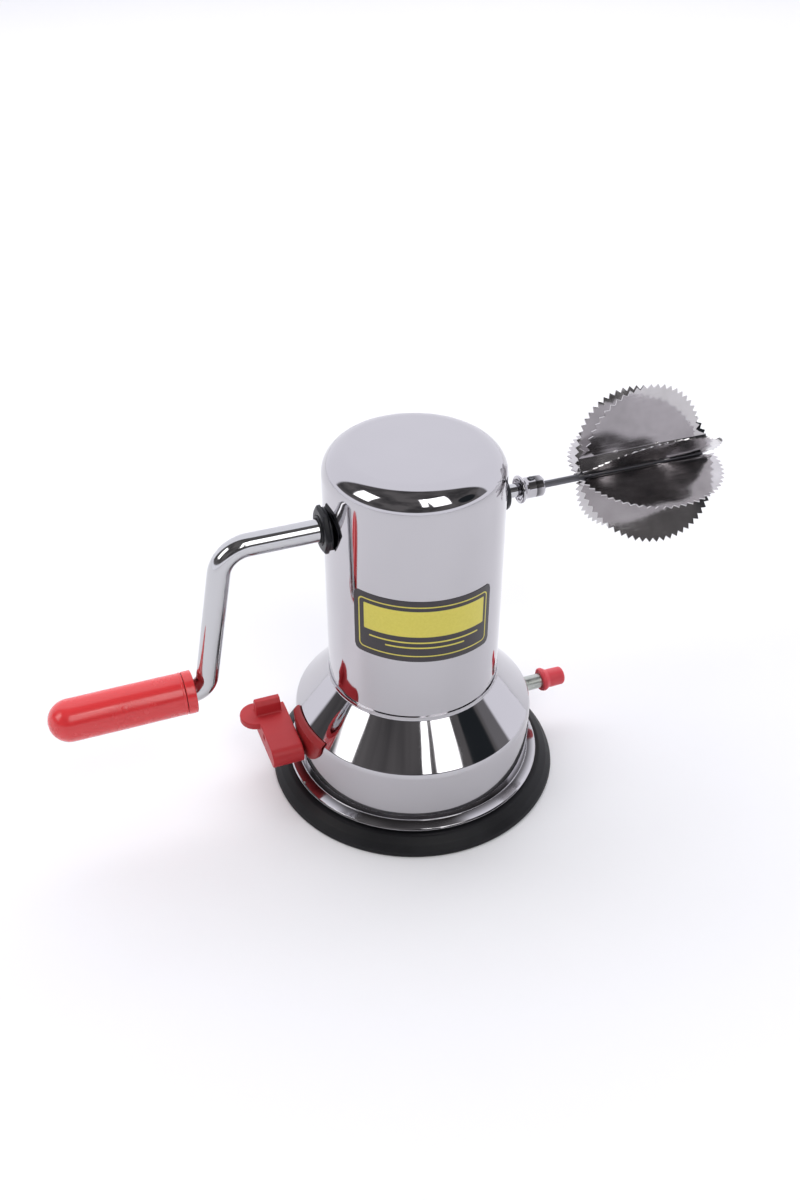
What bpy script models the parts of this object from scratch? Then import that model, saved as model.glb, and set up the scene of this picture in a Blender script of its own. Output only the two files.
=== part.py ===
"""Hand-cranked coconut scraper on a vacuum base.

World frame: metres, +Z up.  The origin is on the table under the middle of the
body; +X runs along the crank shaft from the crank towards the scraper blades.
"""
import math

import bmesh
import bpy
from mathutils import Matrix, Vector

MM = 0.001
GAP = 0.3 * MM                      # air left between touching pieces
MERGE = 0.00001                     # seam welding distance

# ---- driving dimensions ------------------------------------------------------
BODY_RADIUS = 37.5 * MM             # drawn cup that forms the tall body
BODY_TOP = 165.4 * MM
SHEET = 0.8 * MM                    # stainless sheet thickness
SHOULDER_FILLET = 10.5 * MM
NECK_Z = 54.4 * MM                  # where the cup stands on the base shell
NECK_COLLAR_HEIGHT = 2.2 * MM
SHELL_RADIUS = 53.4 * MM            # widest point of the cone
SHELL_SHOULDER_Z = 37.1 * MM
LIP_RADIUS = 57.8 * MM
LIP_Z = 8.8 * MM
PAD_RADIUS = 65.4 * MM

SHAFT_Z = 135.8 * MM                # crank shaft axis
ROD_RADIUS = 4.7 * MM
BUSH_RADIUS = 6.0 * MM
BUSH_BORE = 5.1 * MM
CRANK_BEND_X = -80.7 * MM
GRIP_BEND_X = -93.4 * MM
CRANK_THROW = 67.0 * MM             # from the shaft axis down to the grip axis
GRIP_RADIUS = 9.0 * MM
GRIP_INNER_X = -98.6 * MM
GRIP_TIP_X = -158.7 * MM

HEAD_X = 107.5 * MM                 # middle of the scraper head
HEAD_RADIUS = 33.3 * MM             # to the tooth tips
TOOTH_DEPTH = 1.6 * MM
FOLD_NOTCH = 4.0 * MM               # relief cut into the disc at each end of its fold
TEETH_PER_DISC = 62
BLADE_SHEET = 0.5 * MM
BLADE_ROD_RADIUS = 1.5 * MM
STRIP_HALF = 1.1 * MM               # half width of the flat strip at a disc's fold
# Each disc is folded along its middle and welded to the rod by hand, so they aren't evenly
# spaced. In degrees: where the fold faces round the rod, from the front (-Y) upwards, then how
# far its lower and upper wing lean from that direction.
FOLDS = [(-26, 23.5, 23.5), (71, 25.5, 23), (150, 23.5, 23.5), (240, 23.5, 23.5)]
# The second disc's upper wing first runs up along its neighbour, as a step, then bends forward.
STEPPED_BLADE = 2
STEP_WIDTH = 5.8 * MM
STEP_LEAN = 53
STEP_HALF_LENGTH = 31.5 * MM
STEPPED_WING_RADIUS = 28.2 * MM

CAM_Z = 25.4 * MM                   # vacuum cam shaft axis
CAM_SHAFT_RADIUS = 2.9 * MM
CAM_SHAFT_END_RADIUS = 3.5 * MM     # of its thicker outer end, in the bush
CAM_THROW = 3.2 * MM                # eccentricity
CAM_RADIUS = 7.2 * MM
CAM_REST = math.radians(-45)        # eccentric's direction from +Y at rest
LEVER_INNER_X = -55.6 * MM
LEVER_WIDTH = 14.2 * MM
CAP_X = 65.0 * MM                   # mouth of the shaft's end cap
CAP_TIP_X = 77.3 * MM

ROUND = 40                          # segments round the large turned pieces
SMALL_ROUND = 20                    # segments round the small turned pieces


# ---- scene helpers -------------------------------------------------------------
def clear_scene():
    for obj in list(bpy.data.objects):
        bpy.data.objects.remove(obj, do_unlink=True)


def new_collection(name):
    collection = bpy.data.collections.new(name)
    bpy.context.scene.collection.children.link(collection)
    return collection


def material(name, colour, roughness, metallic):
    mat = bpy.data.materials.new(name)
    mat.use_nodes = True
    shader = mat.node_tree.nodes["Principled BSDF"]
    shader.inputs["Base Color"].default_value = (*colour, 1.0)
    shader.inputs["Roughness"].default_value = roughness
    shader.inputs["Metallic"].default_value = metallic
    return mat


def add_object(name, data, mat, collection, location=(0, 0, 0), rotation=(0, 0, 0)):
    obj = bpy.data.objects.new(name, data)
    obj.location = location
    obj.rotation_euler = rotation
    if mat:
        data.materials.append(mat)
    collection.objects.link(obj)
    return obj


def mesh_from(bm, name):
    mesh = bpy.data.meshes.new(name)
    bm.to_mesh(mesh)
    bm.free()
    mesh.shade_smooth()
    mesh.set_sharp_from_angle(angle=math.radians(35))
    return mesh


def profile_mesh(name, points, closed):
    """An edge loop in the XZ plane for the Screw modifier: (radius, height) pairs."""
    bm = bmesh.new()
    verts = [bm.verts.new((r, 0, z)) for r, z in points]
    for a, b in zip(verts, verts[1:]):
        bm.edges.new((a, b))
    if closed:
        bm.edges.new((verts[-1], verts[0]))
    mesh = bpy.data.meshes.new(name)
    bm.to_mesh(mesh)
    bm.free()
    return mesh


def add_screw(obj, segments, angle=math.tau):
    screw = obj.modifiers.new("turn", "SCREW")
    screw.axis = "Z"
    screw.angle = angle
    screw.steps = segments
    screw.render_steps = segments
    screw.use_merge_vertices = angle == math.tau
    screw.merge_threshold = MERGE
    screw.use_smooth_shade = True


def turned(name, points, mat, collection, closed, segments=ROUND, location=(0, 0, 0)):
    """A piece turned about a vertical axis; the profile runs down its outer side."""
    obj = add_object(name, profile_mesh(name, points, closed), mat, collection, location)
    add_screw(obj, segments)
    return obj


def turned_x(name, points, mat, collection, closed, axis_z, segments=SMALL_ROUND, axis_y=0.0):
    """A piece turned about an axis along X, at height axis_z.

    The points are (x, radius) pairs and start at the +X end of the outer side."""
    profile = [(r, x) for x, r in points]
    obj = add_object(name, profile_mesh(name, profile, closed), mat, collection,
                     (0, axis_y, axis_z), (0, math.pi / 2, 0))
    add_screw(obj, segments)
    return obj


def tube_x(name, x_high, x_low, outer, inner, mat, collection, axis_z, segments=SMALL_ROUND):
    """A plain ring or tube along X with square ends."""
    points = [(x_high, outer), (x_low, outer), (x_low, inner), (x_high, inner)]
    return turned_x(name, points, mat, collection, True, axis_z, segments)


def arc(centre, radius, start, end, steps):
    """Points on an arc in a 2-D plane, angles in degrees."""
    points = []
    for i in range(steps + 1):
        a = math.radians(start + (end - start) * i / steps)
        points.append((centre[0] + radius * math.cos(a), centre[1] + radius * math.sin(a)))
    return points


def solidify(obj, thickness, offset):
    mod = obj.modifiers.new("sheet", "SOLIDIFY")
    mod.thickness = thickness
    mod.offset = offset
    mod.use_even_offset = True


def boolean(obj, other, operation):
    mod = obj.modifiers.new(operation.lower(), "BOOLEAN")
    mod.operation = operation
    mod.solver = "EXACT"
    mod.object = other


def hide_as_cutter(obj):
    obj.hide_render = True
    obj.display_type = "WIRE"


def rod_cutter(name, cutters, radius, length, location, direction="X", segments=SMALL_ROUND):
    """A plain cylinder used to drill a hole through a piece."""
    bm = bmesh.new()
    bmesh.ops.create_cone(bm, cap_ends=True, segments=segments, radius1=radius, radius2=radius,
                          depth=length)
    rotation = {"X": (0, math.pi / 2, 0), "Z": (0, 0, 0)}[direction]
    cutter = add_object(name, mesh_from(bm, name), None, cutters, location, rotation)
    hide_as_cutter(cutter)
    return cutter


def box_mesh(name, size, centre=(0, 0, 0)):
    bm = bmesh.new()
    bmesh.ops.create_cube(bm, size=1.0)
    bmesh.ops.scale(bm, vec=size, verts=bm.verts)
    bmesh.ops.translate(bm, vec=centre, verts=bm.verts)
    return mesh_from(bm, name)


def bevel(obj, width, segments=2):
    mod = obj.modifiers.new("edges", "BEVEL")
    mod.width = width
    mod.segments = segments
    mod.limit_method = "ANGLE"


def flat_curve(name, outlines, thickness):
    """A 2-D curve object, filled and extruded to the thickness."""
    curve = bpy.data.curves.new(name, "CURVE")
    curve.dimensions = "2D"
    curve.fill_mode = "BOTH"
    curve.extrude = thickness / 2
    for outline in outlines:
        spline = curve.splines.new("POLY")
        spline.points.add(len(outline) - 1)
        for point, (x, y) in zip(spline.points, outline):
            point.co = (x, y, 0, 1)
        spline.use_cyclic_u = True
    return curve


def plate_mesh(name, outlines, thickness, collection):
    """The closed mesh of a flat plate, ready to be cut or joined."""
    holder = add_object(name + "_outline", flat_curve(name, outlines, thickness), None, collection)
    bpy.context.view_layer.update()
    evaluated = holder.evaluated_get(bpy.context.evaluated_depsgraph_get())
    mesh = bpy.data.meshes.new_from_object(evaluated)
    bpy.data.objects.remove(holder, do_unlink=True)
    bm = bmesh.new()
    bm.from_mesh(mesh)
    bmesh.ops.remove_doubles(bm, verts=bm.verts, dist=MERGE)
    bmesh.ops.recalc_face_normals(bm, faces=bm.faces)
    bpy.data.meshes.remove(mesh)
    return mesh_from(bm, name)


# ---- fixed body ----------------------------------------------------------------
def make_body_cup(parts, cutters, steel):
    """Drawn stainless cup, open side down, with a hole on each side for the bush."""
    fillet_centre = (BODY_RADIUS - SHOULDER_FILLET, BODY_TOP - 0.4 * MM - SHOULDER_FILLET)
    points = [(0, BODY_TOP), (15 * MM, BODY_TOP - 0.1 * MM)]
    points += arc(fillet_centre, SHOULDER_FILLET, 90, 0, 6)
    points += [(BODY_RADIUS, 110 * MM), (BODY_RADIUS, NECK_Z - 6 * MM)]
    cup = turned("body_cup", points, steel, parts, False)
    solidify(cup, SHEET, -1)
    hole = rod_cutter("bush_hole_cutter", cutters, BUSH_RADIUS + GAP, 2.4 * BODY_RADIUS,
                      (0, 0, SHAFT_Z))
    boolean(cup, hole, "DIFFERENCE")
    return cup


def make_base_shell(parts, cutters, steel):
    """Spun base: neck collar, cone, straight skirt, and the rim lip over the rubber pad."""
    collar_radius = BODY_RADIUS + 2 * GAP + 0.5 * MM
    points = [
        (collar_radius, NECK_Z + NECK_COLLAR_HEIGHT),
        (collar_radius, NECK_Z + 0.4 * MM),
        (collar_radius + 0.8 * MM, NECK_Z - 0.4 * MM),
        (SHELL_RADIUS - 0.9 * MM, SHELL_SHOULDER_Z + 0.7 * MM),
        (SHELL_RADIUS, SHELL_SHOULDER_Z - 0.6 * MM),
        (SHELL_RADIUS + 0.1 * MM, LIP_Z + 2.6 * MM),
        (SHELL_RADIUS + 0.8 * MM, LIP_Z + 1.3 * MM),
        (LIP_RADIUS - 1.1 * MM, LIP_Z + 0.7 * MM),
        (LIP_RADIUS, LIP_Z),
        (LIP_RADIUS - 0.3 * MM, LIP_Z - 1.1 * MM),
    ]
    shell = turned("base_shell", points, steel, parts, False)
    solidify(shell, 0.5 * MM, -1)
    hole = rod_cutter("cam_shaft_hole_cutter", cutters, 4.8 * MM, 2.4 * SHELL_RADIUS, (0, 0, CAM_Z))
    boolean(shell, hole, "DIFFERENCE")
    return shell


def make_neck_ring(parts, steel):
    """Hidden ring that locates the cup on the base: a sleeve with a flange below."""
    outer = BODY_RADIUS - SHEET - GAP
    foot = NECK_Z - 6 * MM - GAP
    points = [
        (outer, NECK_Z + 10 * MM), (outer, foot),
        (outer + 5 * MM, foot), (outer + 5 * MM, foot - SHEET),
        (outer - SHEET, foot - SHEET), (outer - SHEET, NECK_Z + 10 * MM),
    ]
    return turned("neck_ring", points, steel, parts, True)


def make_cam_carrier(parts, cutters, steel):
    """Pressed plate inside the rim with two ears that carry the cam shaft."""
    rim = SHELL_RADIUS - 0.9 * MM
    low = 9.9 * MM
    high = 11.5 * MM
    stem_hole = 4.6 * MM
    points = [(rim, high), (rim, low), (stem_hole, low), (stem_hole, high)]
    plate = turned("cam_carrier", points, steel, parts, True)
    for side in (-1, 1):
        height = 20 * MM
        ear = add_object(f"carrier_ear_{side}", box_mesh("ear", (4 * MM, 15 * MM, height)), None,
                         cutters, (side * 13 * MM, 0, 10.7 * MM + height / 2))
        hide_as_cutter(ear)
        boolean(plate, ear, "UNION")
    bore = rod_cutter("carrier_bore_cutter", cutters, CAM_SHAFT_RADIUS + 0.4 * MM, 40 * MM,
                      (0, 0, CAM_Z))
    boolean(plate, bore, "DIFFERENCE")
    return plate


def make_name_plate(parts, black):
    """Thin blank label bent round the front of the body."""
    span = math.radians(95)
    centre = math.radians(-103.5)
    inner = BODY_RADIUS + GAP
    points = [(inner, 117.0 * MM), (inner, 86.6 * MM)]
    label = add_object("name_plate", profile_mesh("name_plate", points, False), black, parts,
                       rotation=(0, 0, centre - span / 2))
    add_screw(label, 14, span)
    solidify(label, 0.25 * MM, 1)
    return label


# ---- bearing, crank and grip ---------------------------------------------------
def make_bearing(parts, cutters, nylon):
    """Long flanged bush through the body, held by a washer and a hex nut."""
    head = BODY_RADIUS + GAP
    thread_end = -(BODY_RADIUS + 3.9 * MM)
    points = [
        (head + 3.2 * MM, 7.0 * MM), (head + 2.7 * MM, 7.6 * MM), (head + 0.4 * MM, 7.7 * MM),
        (head, 7.3 * MM), (head, BUSH_RADIUS), (thread_end, BUSH_RADIUS),
        (thread_end, BUSH_BORE), (head + 1.2 * MM, BUSH_BORE), (head + 1.2 * MM, 3.4 * MM),
        (head + 3.2 * MM, 3.4 * MM),
    ]
    turned_x("bearing_tube", points, nylon, parts, True, SHAFT_Z)
    washer_face = -(BODY_RADIUS + GAP)
    washer_depth = 0.6 * MM
    tube_x("bearing_washer", washer_face, washer_face - washer_depth, 9.0 * MM, BUSH_RADIUS + GAP,
           nylon, parts, SHAFT_Z)
    nut_depth = 2.0 * MM
    nut_corner = 10.0 * MM
    bm = bmesh.new()
    bmesh.ops.create_cone(bm, cap_ends=True, segments=6, radius1=nut_corner, radius2=nut_corner,
                          depth=nut_depth)
    nut_x = washer_face - washer_depth - GAP - nut_depth / 2
    nut = add_object("bearing_nut", mesh_from(bm, "bearing_nut"), nylon, parts,
                     (nut_x, 0, SHAFT_Z), (0, math.pi / 2, 0))
    bevel(nut, 0.5 * MM, 1)
    bore = rod_cutter("nut_bore_cutter", cutters, BUSH_RADIUS + GAP, 12 * MM, (nut_x, 0, SHAFT_Z))
    boolean(nut, bore, "DIFFERENCE")


def fillet_corner(before, corner, after, radius, steps):
    """The points of a round bend at the corner of a path, in 3-D."""
    to_before = (before - corner).normalized()
    to_after = (after - corner).normalized()
    half = to_before.angle(to_after) / 2
    reach = radius / math.tan(half)
    centre = corner + (to_before + to_after).normalized() * (radius / math.sin(half))
    start = corner + to_before * reach - centre
    end = corner + to_after * reach - centre
    axis = start.cross(end).normalized()
    turn = start.angle(end)
    return [centre + Matrix.Rotation(turn * i / steps, 3, axis) @ start for i in range(steps + 1)]


def make_crank_rod(parts, chrome):
    """One bent bar: drive stub, shaft, arm and the spindle that carries the grip."""
    stub = 2.9 / 4.7                # the drive end is turned down to this share
    shoulder_x = BODY_RADIUS + 1.2 * MM
    stub_end = Vector((54.4 * MM, 0, 0))
    shoulder = Vector((shoulder_x, 0, 0))
    upper = Vector((CRANK_BEND_X, 0, 0))
    lower = Vector((GRIP_BEND_X, 0, -CRANK_THROW))
    tip = Vector((-147 * MM, 0, -CRANK_THROW))
    step = Vector((0.05 * MM, 0, 0))
    path = [(stub_end, stub), (shoulder + step, stub), (shoulder, 1.0)]
    path += [(p, 1.0) for p in fillet_corner(shoulder, upper, lower, 13 * MM, 6)]
    path += [(p, 1.0) for p in fillet_corner(upper, lower, tip, 7.5 * MM, 6)]
    path += [(tip, 1.0)]
    curve = bpy.data.curves.new("crank_rod", "CURVE")
    curve.dimensions = "3D"
    curve.bevel_depth = ROD_RADIUS
    curve.bevel_resolution = 3
    curve.use_fill_caps = True
    spline = curve.splines.new("POLY")
    spline.points.add(len(path) - 1)
    for point, (place, share) in zip(spline.points, path):
        point.co = (*place, 1)
        point.radius = share
    return add_object("crank_rod", curve, chrome, parts, (0, 0, SHAFT_Z))


def make_grip(parts, red, steel):
    """Free-turning sleeve, its end collar, and the washer staked on the spindle."""
    axis_z = SHAFT_Z - CRANK_THROW
    collar_end = GRIP_INNER_X - 4.0 * MM
    tube_x("grip_collar", GRIP_INNER_X, collar_end, GRIP_RADIUS, 5.5 * MM, red, parts, axis_z, 24)
    body_start = collar_end - GAP
    pocket_end = body_start - 2.4 * MM
    bore_end = -149 * MM
    nose_centre = GRIP_TIP_X + GRIP_RADIUS
    sleeve = [(bore_end, 0), (bore_end, BUSH_BORE), (pocket_end, BUSH_BORE),
              (pocket_end, 7.2 * MM), (body_start, 7.2 * MM), (body_start, GRIP_RADIUS)]
    sleeve += arc((nose_centre, 0), GRIP_RADIUS, 90, 180, 5)[:-1]
    sleeve += [(GRIP_TIP_X, 0)]
    turned_x("grip_sleeve", sleeve, red, parts, False, axis_z, 24)
    tube_x("spindle_washer", body_start - 0.5 * MM, body_start - 1.7 * MM, 6.8 * MM,
           ROD_RADIUS + GAP, steel, parts, axis_z)


# ---- drive coupling and scraper head -------------------------------------------
def make_coupling(parts, cutters, steel, dark_steel):
    """Flared ferrule on the drive stub, its grub screw, and the thin blade rod."""
    points = [
        (57.7 * MM, 3.8 * MM), (56.9 * MM, 4.5 * MM), (50.2 * MM, 4.5 * MM),
        (48.6 * MM, 4.9 * MM), (47.2 * MM, 6.0 * MM), (46.6 * MM, 6.0 * MM),
        (46.6 * MM, 5.2 * MM), (48.6 * MM, 3.3 * MM), (54.8 * MM, 3.3 * MM),
        (54.8 * MM, BLADE_ROD_RADIUS + GAP), (57.7 * MM, BLADE_ROD_RADIUS + GAP),
    ]
    ferrule = turned_x("blade_ferrule", points, steel, parts, True, SHAFT_Z)
    screw_radius = 1.3 * MM
    hole = rod_cutter("grub_hole_cutter", cutters, screw_radius + GAP, 6 * MM,
                      (52.4 * MM, 0, SHAFT_Z + 5 * MM), "Z", 12)
    boolean(ferrule, hole, "DIFFERENCE")
    screw = [(0, 1.5 * MM), (screw_radius, 1.5 * MM), (screw_radius, 0), (0, 0)]
    turned("ferrule_grub_screw", screw, dark_steel, parts, False, 12,
           (52.4 * MM, 0, SHAFT_Z + 3.2 * MM))
    rod_end = HEAD_X + HEAD_RADIUS - 5 * MM
    rod = [(rod_end, 0), (rod_end, BLADE_ROD_RADIUS - 0.4 * MM),
           (rod_end - 0.4 * MM, BLADE_ROD_RADIUS),
           (55.1 * MM, BLADE_ROD_RADIUS), (55.1 * MM, 0)]
    turned_x("blade_rod", rod, dark_steel, parts, False, SHAFT_Z, 12)


def toothed_half(radius, teeth, start_angle, centre_y):
    """Points along half a saw-toothed disc, root and tip in turn, with a notch at each end."""
    points = []
    for i in range(2 * teeth + 1):
        r = radius if i % 2 else radius - TOOTH_DEPTH
        if i in (0, 2 * teeth):
            r = radius - FOLD_NOTCH
        a = start_angle + math.pi * i / (2 * teeth)
        points.append((r * math.cos(a), centre_y + r * math.sin(a), 0))
    return points


def blade_outline(stepped):
    """Flat pattern of one disc, its fold along X; the stepped one is narrower past its step."""
    half = TEETH_PER_DISC // 2
    lower = toothed_half(HEAD_RADIUS, half, math.pi, 0.0)
    if not stepped:
        return toothed_half(HEAD_RADIUS, half, 0.0, 0.0)[:-1] + lower[:-1]
    step_end = STRIP_HALF + STEP_WIDTH
    teeth = round(half * STEPPED_WING_RADIUS / HEAD_RADIUS)
    upper = toothed_half(STEPPED_WING_RADIUS, teeth, 0.0, step_end)
    corners = [(STEP_HALF_LENGTH, step_end), (STEP_HALF_LENGTH, STRIP_HALF)]
    right = [(x, y, 0) for x, y in reversed(corners)]
    left = [(-x, y, 0) for x, y in corners]
    return right + upper[1:-1] + left + lower


def make_blade(index, fold, parts, steel):
    """A toothed disc folded to a V, with a flat strip at the fold that sits on the rod."""
    direction, lower_lean, upper_lean = (math.radians(a) for a in fold)
    stepped = index == STEPPED_BLADE
    step_width = STEP_WIDTH if stepped else 0.0
    strip_height = BLADE_ROD_RADIUS + GAP + BLADE_SHEET / 2
    bm = bmesh.new()
    bm.faces.new([bm.verts.new(p) for p in blade_outline(stepped)])
    bends = [-STRIP_HALF, STRIP_HALF]
    if stepped:
        bends.append(STRIP_HALF + STEP_WIDTH)
    for bend in bends:
        bmesh.ops.bisect_plane(bm, geom=bm.verts[:] + bm.edges[:] + bm.faces[:], dist=1e-6,
                               plane_co=(0, bend, 0), plane_no=(0, 1, 0))
    # local +Z is the fold's outward direction, local X runs along the rod
    step_lean = math.radians(STEP_LEAN)
    for vert in bm.verts:
        across = vert.co.y
        side = math.copysign(1.0, across)
        beyond = max(abs(across) - STRIP_HALF, 0.0)
        on_step = min(beyond, step_width) if side > 0 else 0.0
        on_wing = beyond - on_step
        lean = upper_lean if side > 0 else lower_lean
        if beyond > 0.0:
            vert.co.y = side * (STRIP_HALF + on_step * math.sin(step_lean)
                                + on_wing * math.sin(lean))
        vert.co.z = strip_height + on_step * math.cos(step_lean) + on_wing * math.cos(lean)
    name = f"blade_{index}"
    mesh = bpy.data.meshes.new(name)
    bm.to_mesh(mesh)
    bm.free()
    # turning the fold's +Z to the front (-Y) and then up by the direction angle
    blade = add_object(name, mesh, steel, parts, (HEAD_X, 0, SHAFT_Z),
                       (math.pi / 2 - direction, 0, 0))
    solidify(blade, BLADE_SHEET, 0)
    return blade


# ---- vacuum lever and cam ------------------------------------------------------
def make_cam_shaft(parts, cutters, steel):
    """Shaft with a thicker outer end, two clip grooves and cross holes for its pins."""
    left = LEVER_INNER_X - 11.5 * MM
    right = CAP_TIP_X - 2.1 * MM
    groove = CAM_SHAFT_RADIUS - 0.6 * MM
    clip_x = 15.4 * MM
    clip_width = 1.6 * MM
    points = [(right, 0), (right, CAM_SHAFT_RADIUS), (CAP_X + 1.3 * MM, CAM_SHAFT_RADIUS),
              (CAP_X + 1.3 * MM, CAM_SHAFT_END_RADIUS), (44 * MM, CAM_SHAFT_END_RADIUS),
              (44 * MM, CAM_SHAFT_RADIUS)]
    for inner_x in (clip_x + clip_width, -clip_x):
        points += [(inner_x, CAM_SHAFT_RADIUS), (inner_x, groove),
                   (inner_x - clip_width, groove), (inner_x - clip_width, CAM_SHAFT_RADIUS)]
    points += [(left, CAM_SHAFT_RADIUS), (left, 0)]
    shaft = turned_x("cam_shaft", points, steel, parts, False, CAM_Z, 16)
    hole_radius = 1.0 * MM + GAP
    cam_hole = rod_cutter("cam_pin_hole_cutter", cutters, hole_radius, 12 * MM, (0, 0, CAM_Z),
                          "Z", 12)
    cam_hole.rotation_euler = (CAM_REST - math.pi / 2, 0, 0)
    boolean(shaft, cam_hole, "DIFFERENCE")
    lever_hole = rod_cutter("lever_pin_hole_cutter", cutters, hole_radius, 12 * MM,
                            (LEVER_INNER_X - 6.5 * MM, 0, CAM_Z), "Z", 12)
    boolean(shaft, lever_hole, "DIFFERENCE")


def make_clips(parts, steel):
    """C-shaped clips in the shaft grooves, outside the two carrier ears."""
    clip_x = 16.2 * MM
    inner = 2.6 * MM
    outer = 5.2 * MM
    outline = arc((0, 0), outer, 30, 330, 14) + arc((0, 0), inner, 330, 30, 14)
    for name, side in (("shaft_clip_right", 1), ("shaft_clip_left", -1)):
        mesh = plate_mesh(name, [outline], 1.0 * MM, parts)
        add_object(name, mesh, steel, parts, (side * clip_x, 0, CAM_Z),
                   (math.pi / 2, 0, math.pi / 2))


def make_cam(parts, cutters, steel):
    """Eccentric disc on the shaft, locked by a pin through its thick side."""
    width = 7 * MM
    offset = Vector((0, math.cos(CAM_REST), math.sin(CAM_REST))) * CAM_THROW
    bm = bmesh.new()
    bmesh.ops.create_cone(bm, cap_ends=True, segments=28, radius1=CAM_RADIUS, radius2=CAM_RADIUS,
                          depth=width, matrix=Matrix.Rotation(math.pi / 2, 4, "Y"))
    bmesh.ops.translate(bm, vec=offset, verts=bm.verts)
    cam = add_object("cam", mesh_from(bm, "cam"), steel, parts, (0, 0, CAM_Z))
    bore = rod_cutter("cam_bore_cutter", cutters, CAM_SHAFT_RADIUS + GAP, 12 * MM, (0, 0, CAM_Z))
    boolean(cam, bore, "DIFFERENCE")
    direction = offset.normalized()
    pin_radius = 1.0 * MM
    pin_hole = rod_cutter("cam_radial_hole_cutter", cutters, pin_radius + GAP, 14 * MM,
                          Vector((0, 0, CAM_Z)) + direction * 7 * MM, "Z", 12)
    pin_hole.rotation_euler = (CAM_REST - math.pi / 2, 0, 0)
    boolean(cam, pin_hole, "DIFFERENCE")
    pin = [(0, 9.4 * MM), (pin_radius, 9.4 * MM), (pin_radius, -2.3 * MM), (0, -2.3 * MM)]
    obj = turned("cam_pin", pin, steel, parts, False, 12, (0, 0, CAM_Z))
    obj.rotation_euler = (CAM_REST - math.pi / 2, 0, 0)


def lever_outline():
    """Side view of the lever about its pivot: (y, z), round nose to the front."""
    points = arc((-6.8 * MM, 1.6 * MM), 5.0 * MM, 100, 250, 8)
    points += [(18.0 * MM, -3.8 * MM), (20.8 * MM, -2.2 * MM), (21.0 * MM, 7.0 * MM)]
    return points


def make_lever(parts, cutters, red, steel):
    """Moulded lever: slab, ridge across its free end, side tab, and a cross pin."""
    centre_x = LEVER_INNER_X - LEVER_WIDTH / 2
    turn = (math.pi / 2, 0, math.pi / 2)
    slab_mesh = plate_mesh("lever", [lever_outline()], LEVER_WIDTH, parts)
    lever = add_object("lever", slab_mesh, red, parts, (centre_x, 0, CAM_Z), turn)
    ridge_width = 11.6 * MM
    ridge = [(15.0 * MM, 5.0 * MM), (21.0 * MM, 5.0 * MM), (21.0 * MM, 11.8 * MM),
             (19.6 * MM, 13.6 * MM), (17.0 * MM, 13.6 * MM), (15.6 * MM, 11.8 * MM)]
    outer_x = LEVER_INNER_X - LEVER_WIDTH
    ridge_obj = add_object("lever_ridge", plate_mesh("ridge", [ridge], ridge_width, cutters), None,
                           cutters, (outer_x + ridge_width / 2, 0, CAM_Z), turn)
    tab = arc((0, 0), 7.6 * MM, 0, 345, 23)
    tab_obj = add_object("lever_tab", plate_mesh("tab", [tab], 3.2 * MM, cutters), None, cutters,
                         (outer_x + 0.4 * MM, 17.6 * MM, CAM_Z + 5.2 * MM))
    for extra in (ridge_obj, tab_obj):
        hide_as_cutter(extra)
        boolean(lever, extra, "UNION")
    socket = rod_cutter("lever_socket_cutter", cutters, CAM_SHAFT_RADIUS + GAP, 24.2 * MM,
                        (LEVER_INNER_X, 0, CAM_Z))
    boolean(lever, socket, "DIFFERENCE")
    pin_x = LEVER_INNER_X - 6.5 * MM
    pin_hole = rod_cutter("lever_pin_cutter", cutters, 1.3 * MM, 14 * MM, (pin_x, 0, CAM_Z - 3 * MM),
                          "Z", 12)
    boolean(lever, pin_hole, "DIFFERENCE")
    pin = [(0, 3.6 * MM), (1.0 * MM, 3.6 * MM), (1.0 * MM, -3.6 * MM), (0, -3.6 * MM)]
    turned("lever_pin", pin, steel, parts, False, 12, (pin_x, 0, CAM_Z))


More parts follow.
